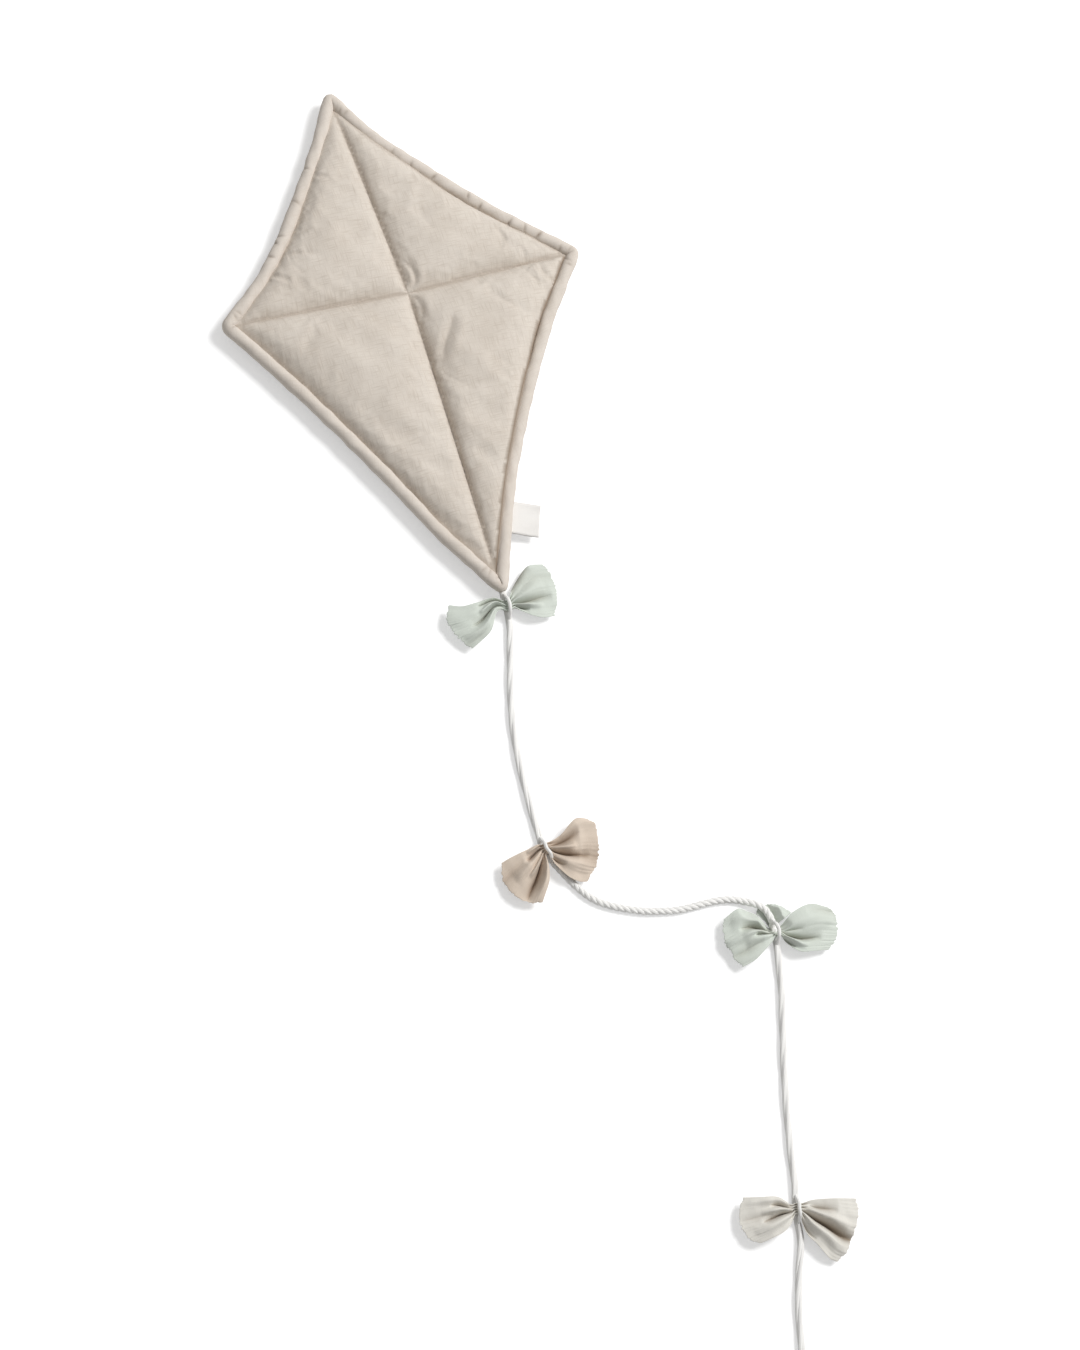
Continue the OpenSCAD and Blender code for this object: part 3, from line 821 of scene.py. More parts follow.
# Creases that the sewing leaves in the front: depth, half width and the points of each line
creases = [
    (0.0022, 0.0022, [(0.009, 0.064), (0.011, 0.057), (0.011, 0.048), (0.006, 0.043)]),
    (0.0018, 0.0023, [(0.005, 0.037), (0.008, 0.028), (0.007, 0.014)]),
    (0.0017, 0.0034, [(0.030, 0.010), (0.022, -0.003), (0.014, -0.016), (0.008, -0.030)]),
    (0.0008, 0.0036, [(0.005, -0.032), (0.014, -0.045), (0.025, -0.055)]),
    (0.0009, 0.0022, [(0.118, 0.042), (0.117, 0.034), (0.1185, 0.027)]),
    (0.0006, 0.0024, [(0.126, 0.050), (0.120, 0.056), (0.112, 0.062)]),
    (0.0007, 0.0045, [(0.034, 0.110), (0.033, 0.098), (0.038, 0.086)]),
]
# Small tucks that run in from the piping on the upper left, and wrinkles beside the right corner
tucks = {"depth": 0.0011, "half": 0.0018, "lines": [
    [(-0.047, 0.158), (-0.040, 0.155), (-0.032, 0.150)], [(-0.076, 0.116), (-0.068, 0.120), (-0.059, 0.126)],
    [(-0.080, 0.105), (-0.073, 0.107), (-0.063, 0.110)], [(-0.095, 0.095), (-0.082, 0.092), (-0.065, 0.088)],
    [(-0.108, 0.081), (-0.102, 0.078), (-0.093, 0.071)]]}
wrinkles = {"depth": 0.0008, "half": 0.0024, "lines": [
    [(0.106, 0.058), (0.107, 0.048), (0.108, 0.038)], [(0.100, 0.042), (0.105, 0.031), (0.110, 0.020)],
    [(0.069, 0.019), (0.077, 0.010), (0.085, 0.003)], [(0.114, 0.033), (0.119, 0.028), (0.126, 0.020)],
    [(0.092, 0.076), (0.094, 0.070), (0.095, 0.062)]]}
for group in (tucks, wrinkles):
    creases += [(group["depth"], group["half"], line) for line in group["lines"]]
creaseForm = {
    "sharp": 1.4,
    "ends": 0.5,  # the lower, the longer a crease keeps its depth towards its ends
    "bank": 0.5,  # height of the cloth beside a crease, as a share of its depth
    "bankAt": 2.2,  # in half widths
    "bankHalf": 1.1,
    "step": 0.001,
}
creaseLines = [smoothLine(line, creaseForm["step"]) for _, _, line in creases]


def creaseGap(place):
    gaps = [np.linalg.norm(place[:, None, :] - line[None, :, :], axis=2).min(axis=1) for line in creaseLines]
    return np.min(gaps, axis=0)


def creaseDepth(place):
    # how far each point sinks, and the painted shade it gets there
    sink, paintedShade = np.zeros(len(place)), np.zeros(len(place))
    for (depth, half, _), line in zip(creases, creaseLines):
        gap = np.linalg.norm(place[:, None, :] - line[None, :, :], axis=2)
        near = np.argmin(gap, axis=1)
        far = np.min(gap, axis=1) / half
        ends = np.sin(math.pi * np.clip((near + 1) / (len(line) + 1), 0, 1)) ** creaseForm["ends"]
        valley = np.exp(-creaseForm["sharp"] * far)
        bank = creaseForm["bank"] * bump((far - creaseForm["bankAt"]) / creaseForm["bankHalf"])
        sink += depth * (valley - bank) * ends
        paintedShade += depth / kite["fullShadeAt"] * valley * ends
    return sink, paintedShade


def rimLine():
    # middle of the piping, beside the panel's edge and round each corner on a tight bend
    parts = []
    radius = kite["cornerRadius"]
    for q in range(4):
        line = sidePoint(q, np.linspace(0, 1, kite["rimSteps"]))
        run = np.gradient(line, axis=0)
        normal = np.stack([-run[:, 1], run[:, 0]], axis=1)
        normal = normal / np.linalg.norm(normal, axis=1)[:, None]
        parts.append((line + radius * normal, normal))
    path, marks, tips = [], [], []
    for q in range(4):
        line, normal = parts[q]
        marks.append(len(path))
        path.extend(line)
        before, after = normal[-1], parts[(q + 1) % 4][1][0]
        corner = corners[(q + 1) % 4]
        reach = radius * (before + after) / (1 + before @ after)
        bend = kite["bends"][(q + 1) % 4]
        centre = corner + reach * (1 - bend / radius)
        first = math.atan2(before[1], before[0])
        turn = (math.atan2(after[1], after[0]) - first + math.pi) % (2 * math.pi) - math.pi
        for a in first + turn * np.linspace(0, 1, kite["cornerSteps"]):
            path.append(centre + bend * np.array((math.cos(a), math.sin(a))))
        tips.append((corner, reach / np.linalg.norm(reach)))
    return np.array(path), marks, tips


def padShell(flat, triangles, seam, crown):
    # front and back sheets, joined by a seam allowance that runs on inside the piping
    count, middle = len(flat), kite["midHeight"]
    front = np.column_stack([flat, middle + seam + padCloth["start"] * crown])
    back = np.column_stack([flat, middle - seam - padCloth["start"] * kite["backShare"] * crown])
    faces, used = [], {}
    for a, b, c in triangles:
        faces += [(a, b, c), (count + a, count + c, count + b)]
        used.update({(a, b): True, (b, c): True, (c, a): True})
    rim = [e for e in used if (e[1], e[0]) not in used]
    edge = [a for a, _ in rim]
    line = rimLine()[0]
    inside = [line[np.argmin(np.linalg.norm(line - flat[a], axis=1))] for a in edge]
    points = np.vstack([front, back, np.column_stack([inside, np.full(len(edge), middle)])])
    tuck = {a: 2 * count + k for k, a in enumerate(edge)}
    for a, b in rim:
        faces += [(b, a, tuck[a], tuck[b]), (tuck[b], tuck[a], count + a, count + b)]
    return points, faces, edge


def seamPoints(flat):
    # which points lie on one of the four seams
    away = flat - crossing
    found = np.zeros(len(flat), bool)
    for arm in corners - crossing:
        gap = np.abs(arm[0] * away[:, 1] - arm[1] * away[:, 0]) / np.linalg.norm(arm)
        found |= gap < kite["onLine"]
    return found


def fillPad(pad, points, sewn):
    step = inflate(pad, np.flatnonzero(sewn), padCloth) - points
    size = np.maximum(np.linalg.norm(step, axis=1), tiny)
    return points + step * np.minimum(1, padCloth["most"] / size)[:, None]


def gatherLift(flat, gaps):
    away = flat - crossing
    along = np.arctan2(away[:, 1], away[:, 0]) * np.linalg.norm(away, axis=1)
    pucker = softNoise(gathers["seed"], gathers)(along, 0 * along)
    return gathers["deep"] * pucker * np.exp(-gaps[:, 2] / gathers["reach"])


def keepSharp(piece, sewn):
    # edges between two sewn points stay sharp when the mesh is rounded off
    ends = np.zeros(2 * len(piece.data.edges), np.int32)
    piece.data.edges.foreach_get("vertices", ends)
    crease = piece.data.attributes.new("crease_edge", "FLOAT", "EDGE")
    crease.data.foreach_set("value", sewn[ends.reshape(-1, 2)].all(1).astype(np.float32))


def makePad():
    flat, triangles = padGrid()
    count = len(flat)
    quarter, out, gaps = panelPlace(flat[:, 0], flat[:, 1])
    crown = crownLift(quarter, gaps)
    points, faces, edge = padShell(flat, triangles, seamLift(out), crown)
    onSeam = seamPoints(flat)
    onRim = np.isin(np.arange(count), edge)
    sewn = onSeam | onRim
    shape = {"points": points, "faces": faces, "pairs": [tuple(points[i, :2]) for f in faces for i in f]}
    pad = addMesh("kitePad", shape, finish["linen"])
    points = fillPad(pad, points, np.concatenate([sewn, sewn, np.ones(len(edge), bool)]))
    sink, paintedShade = creaseDepth(points[:count, :2])
    # painted shade in the grooves beside the piping and along the seams
    paintedShade = np.where(onRim, np.maximum(paintedShade, np.array(kite["sideShades"])[quarter]), paintedShade)
    paintedShade = np.where(onSeam, kite["seamShade"], paintedShade)
    paintFoldShade(pad, np.concatenate([paintedShade, np.zeros(len(points) - count)]))
    lump = lumps["deep"] * softNoise(lumps["seed"], lumps)(flat[:, 0], flat[:, 1])
    points[:count, 2] -= np.where(sewn, 0, sink)
    points[:count, 2] += np.where(onRim, 0, gatherLift(flat, gaps))
    points[:count, 2] += lump * crown / crown.max()
    points[:, 2] = np.maximum(points[:, 2], padCloth["lowest"])
    keepSharp(pad, np.concatenate([sewn, sewn, np.zeros(len(edge), bool)]))
    pad.data.vertices.foreach_set("co", points.astype(np.float32).ravel())
    pad.data.update()
    roundOff(pad)
    attach(pad, "kite", "linen", "front_panel", "back_panel", "filling")
    print("pad filled:", count, "points a side")


makePad()

# Piping: a cord covered with a strip of the same linen, sewn into the edge
piping = {
    "step": 0.0008,
    "sides": 24,
    "tight": 0.0001,  # the strip is drawn this much tighter than the cord's seat
    "seed": 8,
    "waves": 7,
    "longest": 0.05,
    "shortest": 0.006,
    "ripple": 0.00028,
    "rippleRound": 0.004,  # how much the ripple changes on the way round the strip
    "front": 5.2,  # where round the strip the folds lie at the corners and on the upper right side
    "outer": 4.0,  # and on the upper left side
    "foldHalf": 0.0010,
    "foldGain": 1.4,
    "foldSway": (0.4, 1.7),  # how far the folds are moved round, and the step from one to the next
    "foldLean": (0.0016, 2.4),
    "foldRound": (0.75, 0.2),  # how far round a fold reaches, and how much that differs
    "fullShadeAt": 0.0013,  # a fold this deep gets the full painted shade
    "cornerReach": 0.03,
    "cornerFold": 0.0006,
    "cornerFolds": (-0.009, -0.0045, 0.004, 0.0085),  # along the edge from each corner
    "puckers": [  # share of the upper right side's length, and depth
        (0.25, 0.0005), (0.33, 0.0006), (0.42, 0.0011), (0.557, 0.0010), (0.612, 0.0009),
        (0.729, 0.0012), (0.786, 0.0008), (0.842, 0.0014), (0.93, 0.0006)],
    "leftPuckers": [(0.286, 0.0010), (0.345, 0.0011), (0.375, 0.0008), (0.52, 0.0006), (0.66, 0.0006)],
}


def makePiping():
    rough, marks, tips = rimLine()
    closed = np.vstack([rough, rough[:1]])
    along = lengthsAlong(closed)
    even = evenLine(closed, piping["step"])[:-1]
    path = np.column_stack([even, np.full(len(even), kite["midHeight"])])
    starts = [along[m] for m in marks] + [along[-1]]
    noise = softNoise(piping["seed"], piping)
    front = piping["front"]
    folds = [(starts[0] + f * (starts[1] - starts[0]), d, front) for f, d in piping["puckers"]]
    folds += [(starts[3] + f * (starts[4] - starts[3]), d, piping["outer"]) for f, d in piping["leftPuckers"]]
    for q in range(4):  # the strip gathers at each corner
        folds += [(starts[q] + gap, piping["cornerFold"], front) for gap in piping["cornerFolds"]]
    sway, swayStep = piping["foldSway"]
    slant, slantStep = piping["foldLean"]
    wide, wideMore = piping["foldRound"]
    shades = []

    def pucker(grid, place, angle):
        s, a = np.meshgrid(place, angle, indexing="ij")
        grid = grid + piping["ripple"] * noise(s, piping["rippleRound"] * np.cos(a)) - piping["tight"]
        shade = 0 * s
        for k, (at, depth, facing) in enumerate(folds):
            middle = facing + sway * math.sin(swayStep * k)
            turn = (a - middle + math.pi) % (2 * math.pi) - math.pi
            lean = slant * math.sin(slantStep * k) * turn
            fold = np.exp(-np.abs(s - at - lean) / piping["foldHalf"])
            fold = fold * bump(turn / (wide + wideMore * math.cos(k)))  # part of the way round
            grid = grid - piping["foldGain"] * depth * fold
            # painted shade in each fold of the strip
            shade = shade + depth / piping["fullShadeAt"] * fold
        shades.append(shade)
        return grid

    shape = newShape()
    addTube(shape, path, kite["pipingRadius"], piping["sides"], around=2 * math.pi * kite["pipingRadius"],
            closed=True, reshape=pucker)
    rings = np.array(shape["points"]).reshape(len(path), piping["sides"], 3)
    for corner, outward in tips:  # at a corner the two arms meet on its middle line and don't cross
        across = np.array((-outward[1], outward[0]))
        middle = (path[:, :2] - corner) @ across
        near = np.flatnonzero(np.linalg.norm(path[:, :2] - corner, axis=1) < piping["cornerReach"])
        for i in near:
            over = (rings[i, :, :2] - corner) @ across
            wrong = over * np.sign(middle[i]) < 0
            rings[i, wrong, :2] -= over[wrong, None] * across
    shape["points"] = rings.reshape(-1, 3)
    bias = math.sqrt(0.5)
    shape["pairs"] = [(bias * (u + v), bias * (v - u)) for u, v in shape["pairs"]]  # a strip cut on the bias
    piece = addMesh("pipingCover", shape, finish["pipingLinen"])
    paintFoldShade(piece, shades[0].ravel())
    attach(piece, "kite", "piping", "piping_cover", "piping_cord")


makePiping()
print("piping sewn on")

# Quilting stitches along the seams, on the front and half a pitch further on at the back
stitches = {
    "length": 0.0035,
    "pitch": 0.006,
    "thread": 0.00035,
    "sides": 6,
    "points": 5,
    "start": 0.024,
    "end": 0.88,  # share of the way from the crossing to the corner
    "proud": 0.0001,
    "dive": 0.0012,  # how far both ends go into the cloth
}


def makeStitches(name, rows, node):
    shape = newShape()
    for q in rows:
        run = np.linalg.norm(corners[q] - crossing)
        way = (corners[q] - crossing) / run
        for side, shift in ((1, 0.0), (-1, stitches["pitch"] / 2)):
            for d in np.arange(stitches["start"] + shift, run * stitches["end"], stitches["pitch"]):
                line = []
                for f in np.linspace(-0.5, 0.5, stitches["points"]):
                    at = d + f * stitches["length"]
                    flat = crossing + way * at
                    rise = stitches["proud"] - stitches["dive"] * (2 * abs(f)) ** 4
                    line.append((*flat, kite["midHeight"] + side * (seamLift(at / run) + rise)))
                addTube(shape, np.array(line), stitches["thread"], stitches["sides"])
    piece = addMesh(name, shape, finish["linenThread"])
    attach(piece, "kite", "thread", node)


makeStitches("spineStitches", (0, 2), "spine_stitches")
makeStitches("sparStitches", (1, 3), "spar_stitches")
print("seams stitched")

# Side tag: a folded tape, sewn in under the piping, its face left bare
tag = {
    "width": 0.027,
    "reach": 0.022,
    "layer": 0.00045,
    "gap": 0.0004,
    "wrap": 0.0053,  # from the piping's middle to the tape
    "toMiddle": 0.00065,  # from there to the middle of its two layers, and past both of them
    "toOutside": 0.0013,
    "seam": -125.0,  # angles round the piping where the tape starts and where it leaves
    "leave": -35.0,
    "wrapSteps": 12,
    "flapSteps": 16,
    "flapStart": 0.08,
    "nearRim": 0.015,
    "droop": 0.0012,
    "step": 0.0011,
    "cells": 14,
    "foldAngles": (60, 30, 0, -30, -60),
    "foldBulge": 1.25,
    "seed": 12,
    "waves": 4,
    "longest": 0.03,
    "shortest": 0.012,
    "ripple": 0.0007,
    "curl": 0.0016,  # one corner of the fold lifts, and the other dips by a share of that
    "dip": 0.4,
    "bendBefore": 0.0012,  # the tape bends between these distances from the hinge
    "bendAfter": 0.0018,
}


def makeTag():
    hinge = next(j for j in frame["joints"] if j["name"] == "tag_flip")
    way = np.array(hinge["axis"][:2])
    normal = np.array((-way[1], way[0]))
    half = tag["gap"] / 2 + tag["layer"] / 2
    centre = tag["wrap"] + tag["toMiddle"]
    leave = math.radians(tag["leave"])
    pivotOut = (tag["wrap"] + tag["toOutside"]) * math.cos(leave) + tag["toMiddle"]
    pivotUp = centre * math.sin(leave)
    origin = np.array(hinge["pos_m"][:2]) - pivotOut * normal
    rim = rimLine()[0] - origin
    rim = rim[np.abs(rim @ normal) < tag["nearRim"]]
    slide = float(rim[np.argmin(np.abs(rim @ way))] @ normal)  # how far the piping is drawn in there
    spine = []  # the middle of the two layers, out and up from the piping's middle
    for a in np.radians(np.linspace(tag["seam"], tag["leave"], tag["wrapSteps"])):
        spine.append((slide + centre * math.cos(a), centre * math.sin(a)))
    for f in np.linspace(tag["flapStart"], 1, tag["flapSteps"]):
        out = slide + pivotOut + tag["reach"] * f
        spine.append((out, pivotUp - tag["droop"] * math.sin(math.pi * f / 2) ** 2))
    spine = evenLine(np.array(spine), tag["step"])
    lean = np.gradient(spine, axis=0)
    lean = lean / np.linalg.norm(lean, axis=1)[:, None]
    across = np.stack([-lean[:, 1], lean[:, 0]], axis=1)
    upper = spine + half * across
    lower = spine - half * across
    fold = []
    for a in np.radians(tag["foldAngles"]):
        size = half * (tag["foldBulge"] if abs(a) < 1 else 1.0)
        fold.append(spine[-1] + size * (math.cos(a) * lean[-1] + math.sin(a) * across[-1]))
    profile = np.vstack([upper, fold, lower[::-1]])
    along = lengthsAlong(profile)
    shape = newShape()
    wave = softNoise(tag["seed"], tag)
    rows = np.linspace(-0.5, 0.5, tag["cells"] + 1)
    for r in rows:
        corner = abs(2 * r) ** 3 * (1 if r < 0 else -tag["dip"])
        for out, up in profile:
            free = min(1.0, max(0.0, (out - pivotOut) / tag["reach"]))
            lift = free * (tag["ripple"] * wave(r * tag["width"], out) + tag["curl"] * corner)
            flat = origin + normal * out + way * (r * tag["width"])
            shape["points"].append((*flat, kite["midHeight"] + up + lift))
    n = len(profile)
    for i in range(tag["cells"]):
        for k in range(n - 1):
            shape["faces"].append((i * n + k, i * n + k + 1, (i + 1) * n + k + 1, (i + 1) * n + k))
            u0, u1 = rows[i] * tag["width"], rows[i + 1] * tag["width"]
            shape["pairs"] += [(u0, along[k]), (u0, along[k + 1]), (u1, along[k + 1]), (u1, along[k])]
    piece = addMesh("tagTape", shape, finish["tagTape"])
    thicken(piece, tag["layer"])
    bpy.context.view_layer.update()
    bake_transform(piece)
    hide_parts("tag_root", "tag_flap")


makeTag()
print("tag folded")

# Hanging loop under the top corner
loop = {
    "diameter": 0.003,
    "lay": 0.009,
    "gap": 0.008,
    "length": 0.022,
    "tackAt": 0.187,
    "height": 0.0062,
    "bendSteps": 15,
    "step": 0.0008,
}


def makeLoop():
    radius = loop["diameter"] / 2
    bend = (loop["gap"] + loop["diameter"]) / 2
    height = loop["height"]
    low = loop["tackAt"]
    straight = loop["length"] - bend - radius
    points = [(bend, low, height)]
    for a in np.linspace(0, math.pi, loop["bendSteps"]):
        points.append((bend * math.cos(a), low + straight + bend * math.sin(a), height))
    points.append((-bend, low, height))
    path = smoothLine(points, loop["step"])
    shape = newShape()
    addRope(shape, path, radius, loop["lay"])
    piece = addMesh("hangingLoop", shape, finish["loopCord"])
    attach(piece, "loop", "loop_cotton", "hanging_loop")


# Bar tack over the loop's two ends: close turns of thread round a short core
tack = {
    "thread": 0.0004,
    "sides": 7,
    "turns": 9,
    "turnSteps": 8,
    "wide": 0.46,  # shares of the tack's own box
    "tall": 0.42,
    "step": 0.0006,
    "core": 0.0011,
    "coreSides": 10,
    "coreStep": 0.001,
    "coreAt": (0.08, 0.36, 0.64, 0.92),
}


def makeTack():
    low, high = (np.array(corner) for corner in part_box("loop_tack"))
    middle, size = (low + high) / 2, high - low
    count = tack["turns"] * tack["turnSteps"] + 1
    line = []
    for k, x in enumerate(np.linspace(low[0] + tack["thread"], high[0] - tack["thread"], count)):
        a = 2 * math.pi * k / tack["turnSteps"]
        y = middle[1] + size[1] * tack["wide"] * math.cos(a)
        z = middle[2] + size[2] * tack["tall"] * math.sin(a)
        line.append((x, y, z))
    shape = newShape()
    addTube(shape, smoothLine(line, tack["step"]), tack["thread"], tack["sides"])
    core = [(low[0] + share * size[0], middle[1], middle[2]) for share in tack["coreAt"]]
    addTube(shape, smoothLine(core, tack["coreStep"]), tack["core"], tack["coreSides"])
    piece = addMesh("loopTack", shape, finish["linenThread"])
    attach(piece, "kite", "thread", "loop_tack")


makeLoop()
makeTack()
print("hanging loop made")

# Bows: a strip of thin cloth each, gathered at the waist; edges in millimetres from the knot
# Fold: where it lies across the wing at its start and end, its start and end along the wing, half width, rise
bowCloth = {
    "cut": (0.098, 0.048),
    "thick": 0.0005,
    "wingSteps": 32,
    "acrossSteps": 60,
    "edgeStep": 0.0004,
    "waistHalf": 0.0022,
    "waistTall": 0.0042,
    "lobeUp": 0.5,  # share of the waist's height at which the lobe starts
    "lobeSeed": 5,
    "fray": 0.0005,  # unevenness of the cut edge, at this distance from the knot
    "frayReach": 0.045,
    "fall": 1.3,  # how late the wing comes down from the waist to its edge
    "billow": 0.003,
    "sharp": 1.25,  # steepness of a fold's valley
    "foldEnds": 0.7,  # how fully a fold keeps its depth towards its ends
    "fullShadeAt": 9.0,  # millimetres of depth at which a fold gets the full painted shade
    "gather": 0.0014,
    "gathers": 4.5,
    "gatherReach": 0.13,
    "gatherShade": 0.7,
    "ripple": 0.0004,
    "waves": 5,
    "longest": 0.03,
    "shortest": 0.008,
    "bank": 1.3,  # slope of the cloth beside a cord that presses it down
    "pressFrom": 0.5,  # the cord presses where it has risen by more than this share
    "turnRoom": 0.12,
    "lowest": 0.0006,
}
bows = [
    {"finish": "mintCloth", "slot": "mint_cloth", "seed": 21, "shift": (-3, 6), "paintedShade": 0.9,
     "right": {"upper": [(10, 6), (24, 19), (31, 22)],
               "outer": [(43, 21), (46, 12), (47, 3), (45, -8), (38, -23)],
               "lower": [(28, -23), (18, -19), (8, -10)], "edge": 0.006,
               "folds": [(0.62, 0.60, 0.02, 0.90, 0.078, -6.5), (0.86, 0.84, 0.05, 0.40, 0.065, -5.2),
                         (0.73, 0.75, 0.05, 0.70, 0.06, 4.7), (0.45, 0.40, 0.05, 0.80, 0.12, 3.4),
                         (0.0, 0.0, 0.10, 0.70, 0.104, -6.5), (0.22, 0.25, 0.30, 1.1, 0.13, -2.0)]},
     "left": {"upper": [(-8, 3), (-22, 2), (-34, 2)],
              "outer": [(-44, 6), (-50, -4), (-49, -13), (-44, -24), (-37, -33)],
              "lower": [(-28, -29), (-18, -23), (-8, -9)], "edge": 0.009,
              "folds": [(0.18, 0.15, 0.02, 0.50, 0.078, -6.5), (0.40, 0.42, 0.02, 0.50, 0.07, 5.4),
                        (0.62, 0.60, 0.04, 0.70, 0.065, -7.8), (0.78, 0.80, 0.08, 0.95, 0.1, 4.1),
                        (0.30, 0.35, 0.40, 1.1, 0.12, 2.0), (0.88, 0.90, 0.50, 1.2, 0.078, -2.0)]}},
    {"finish": "taupeCloth", "slot": "taupe_cloth", "seed": 22, "shift": (0, 0), "paintedShade": 1.6,
     "right": {"upper": [(7, 5), (16, 8), (25, 14), (32, 17)],
               "outer": [(41, 15), (46, 8), (44, -8), (38, -21), (25, -33)],
               "lower": [(17, -31), (9, -24), (3, -12)], "edge": 0.006,
               "folds": [(0.24, 0.20, 0.02, 0.68, 0.13, -6.5), (0.42, 0.42, 0.02, 0.60, 0.06, 6.1),
                         (0.55, 0.58, 0.03, 0.85, 0.065, -7.8), (0.76, 0.74, 0.15, 0.95, 0.11, 4.7),
                         (0.87, 0.86, 0.05, 0.45, 0.078, -4.5), (0.55, 0.62, 0.70, 1.3, 0.208, -3.9),
                         (0.05, 0.10, 0.30, 1.2, 0.1, 3.4)]},
     "left": {"upper": [(-5, 5), (-16, 3), (-28, 1)],
              "outer": [(-37, -1), (-40, -12), (-37, -26), (-28, -36), (-16, -40)],
              "lower": [(-12, -34), (-6, -25), (-2, -13)], "edge": 0.009,
              "folds": [(0.10, 0.10, 0.02, 0.40, 0.05, 4.1), (0.26, 0.30, 0.03, 0.45, 0.078, -7.2),
                        (0.42, 0.40, 0.10, 0.80, 0.09, 4.1), (0.58, 0.58, 0.03, 0.60, 0.04, 5.4),
                        (0.68, 0.76, 0.04, 1.0, 0.065, -8.5), (0.90, 0.92, 0.06, 1.0, 0.07, 4.7),
                        (0.25, 0.30, 0.50, 1.2, 0.13, -2.6)]}},
    {"finish": "mintCloth", "slot": "mint_cloth", "seed": 23, "shift": (0, 0), "paintedShade": 0.9,
     "right": {"upper": [(5, 3), (16, 10), (33, 13)],
               "outer": [(48, 7), (52, 2), (51, -8), (46, -19), (37, -26)],
               "lower": [(23, -24), (11, -21), (4, -12)], "edge": 0.006,
               "folds": [(0.48, 0.46, 0.02, 0.45, 0.039, -3.2), (0.62, 0.70, 0.03, 0.75, 0.065, -7.8),
                         (0.78, 0.84, 0.04, 0.55, 0.06, 5.4), (0.92, 0.92, 0.05, 0.35, 0.065, -4.5),
                         (0.30, 0.32, 0.05, 0.95, 0.16, 4.1), (0.15, 0.18, 0.55, 1.2, 0.13, -2.6)]},
     "left": {"upper": [(-5, 6), (-14, 21), (-26, 25)],
              "outer": [(-40, 20), (-45, 3), (-42, -7), (-40, -15), (-37, -20)],
              "lower": [(-27, -18), (-17, -13), (-8, -8)], "edge": 0.009,
              "folds": [(0.42, 0.38, 0.03, 0.70, 0.078, -8.5), (0.51, 0.52, 0.03, 0.70, 0.05, 5.4),
                        (0.59, 0.58, 0.02, 0.50, 0.046, -5.9), (0.70, 0.68, 0.10, 0.70, 0.08, 4.1),
                        (0.78, 0.76, 0.35, 1.1, 0.091, -3.2), (0.55, 0.50, 0.45, 1.0, 0.09, 3.4),
                        (0.20, 0.18, 0.05, 0.85, 0.12, 3.4)]},
     "lobe": {"upper": [(-4, 9), (-7, 14)],
              "outer": [(-10, 18), (-5, 23), (5, 22), (13, 17), (18, 11)],
              "lower": [(11, 8), (5, 6)], "edge": 0.004, "base": 0.0065,
              "folds": [(0.35, 0.35, 0.05, 1.0, 0.13, -3.2), (0.65, 0.65, 0.05, 1.0, 0.1, 2.7)]}},
    {"finish": "greigeCloth", "slot": "greige_cloth", "seed": 24, "shift": (0, 0), "paintedShade": 1.4,
     "right": {"upper": [(6, 3), (14, 3), (31, -1)],
               "outer": [(49, -6), (46, -18), (39, -30), (29, -40), (17, -47)],
               "lower": [(11, -42), (5, -30), (0, -19)], "edge": 0.006,
               "folds": [(0.50, 0.62, 0.02, 1.25, 0.078, -10.4), (0.24, 0.22, 0.15, 0.65, 0.091, -4.5),
                         (0.36, 0.44, 0.04, 1.0, 0.08, 4.7), (0.70, 0.78, 0.04, 1.1, 0.09, 5.4),
                         (0.94, 0.94, 0.05, 0.50, 0.078, -3.9)]},
     "left": {"upper": [(-5, 5), (-13, 13), (-26, 17)],
              "outer": [(-39, 21), (-46, 11), (-48, 0), (-44, -12), (-37, -16)],
              "lower": [(-26, -15), (-16, -13), (-8, -8)], "edge": 0.009,
              "folds": [(0.47, 0.56, 0.02, 0.65, 0.052, -7.8), (0.36, 0.36, 0.03, 0.65, 0.06, 4.7),
                        (0.22, 0.22, 0.08, 0.50, 0.065, -5.2), (0.66, 0.70, 0.05, 0.85, 0.1, 4.1),
                        (0.42, 0.44, 0.45, 1.0, 0.091, -2.3), (0.10, 0.10, 0.10, 0.9, 0.08, 2.7)]}},
]


def edgeCurve(points, count):
    return spacedLine(smoothLine(points, bowCloth["edgeStep"]), count)


def pressedUnder(path, place):
    # the cord lies on the cloth and presses it down: the greatest height at a point of the cloth
    left = lengthsAlong(path)[-1] - lengthsAlong(path)
    near = left < tail["overFrom"][0]
    line, left = path[near], left[near]
    share = overShare(left)

    def greatest(plan):
        gap = np.linalg.norm((plan + place)[..., None, :] - line[:, :2], axis=-1)
        room = cordRadius + bowCloth["turnRoom"] * left  # wider where the bow turns further
        beside = np.maximum(0, gap - room)
        under = line[:, 2] - cordRadius - bowCloth["thick"] + bowCloth["bank"] * beside
        return np.min(np.where(share > bowCloth["pressFrom"], under, math.inf), axis=-1)

    return greatest


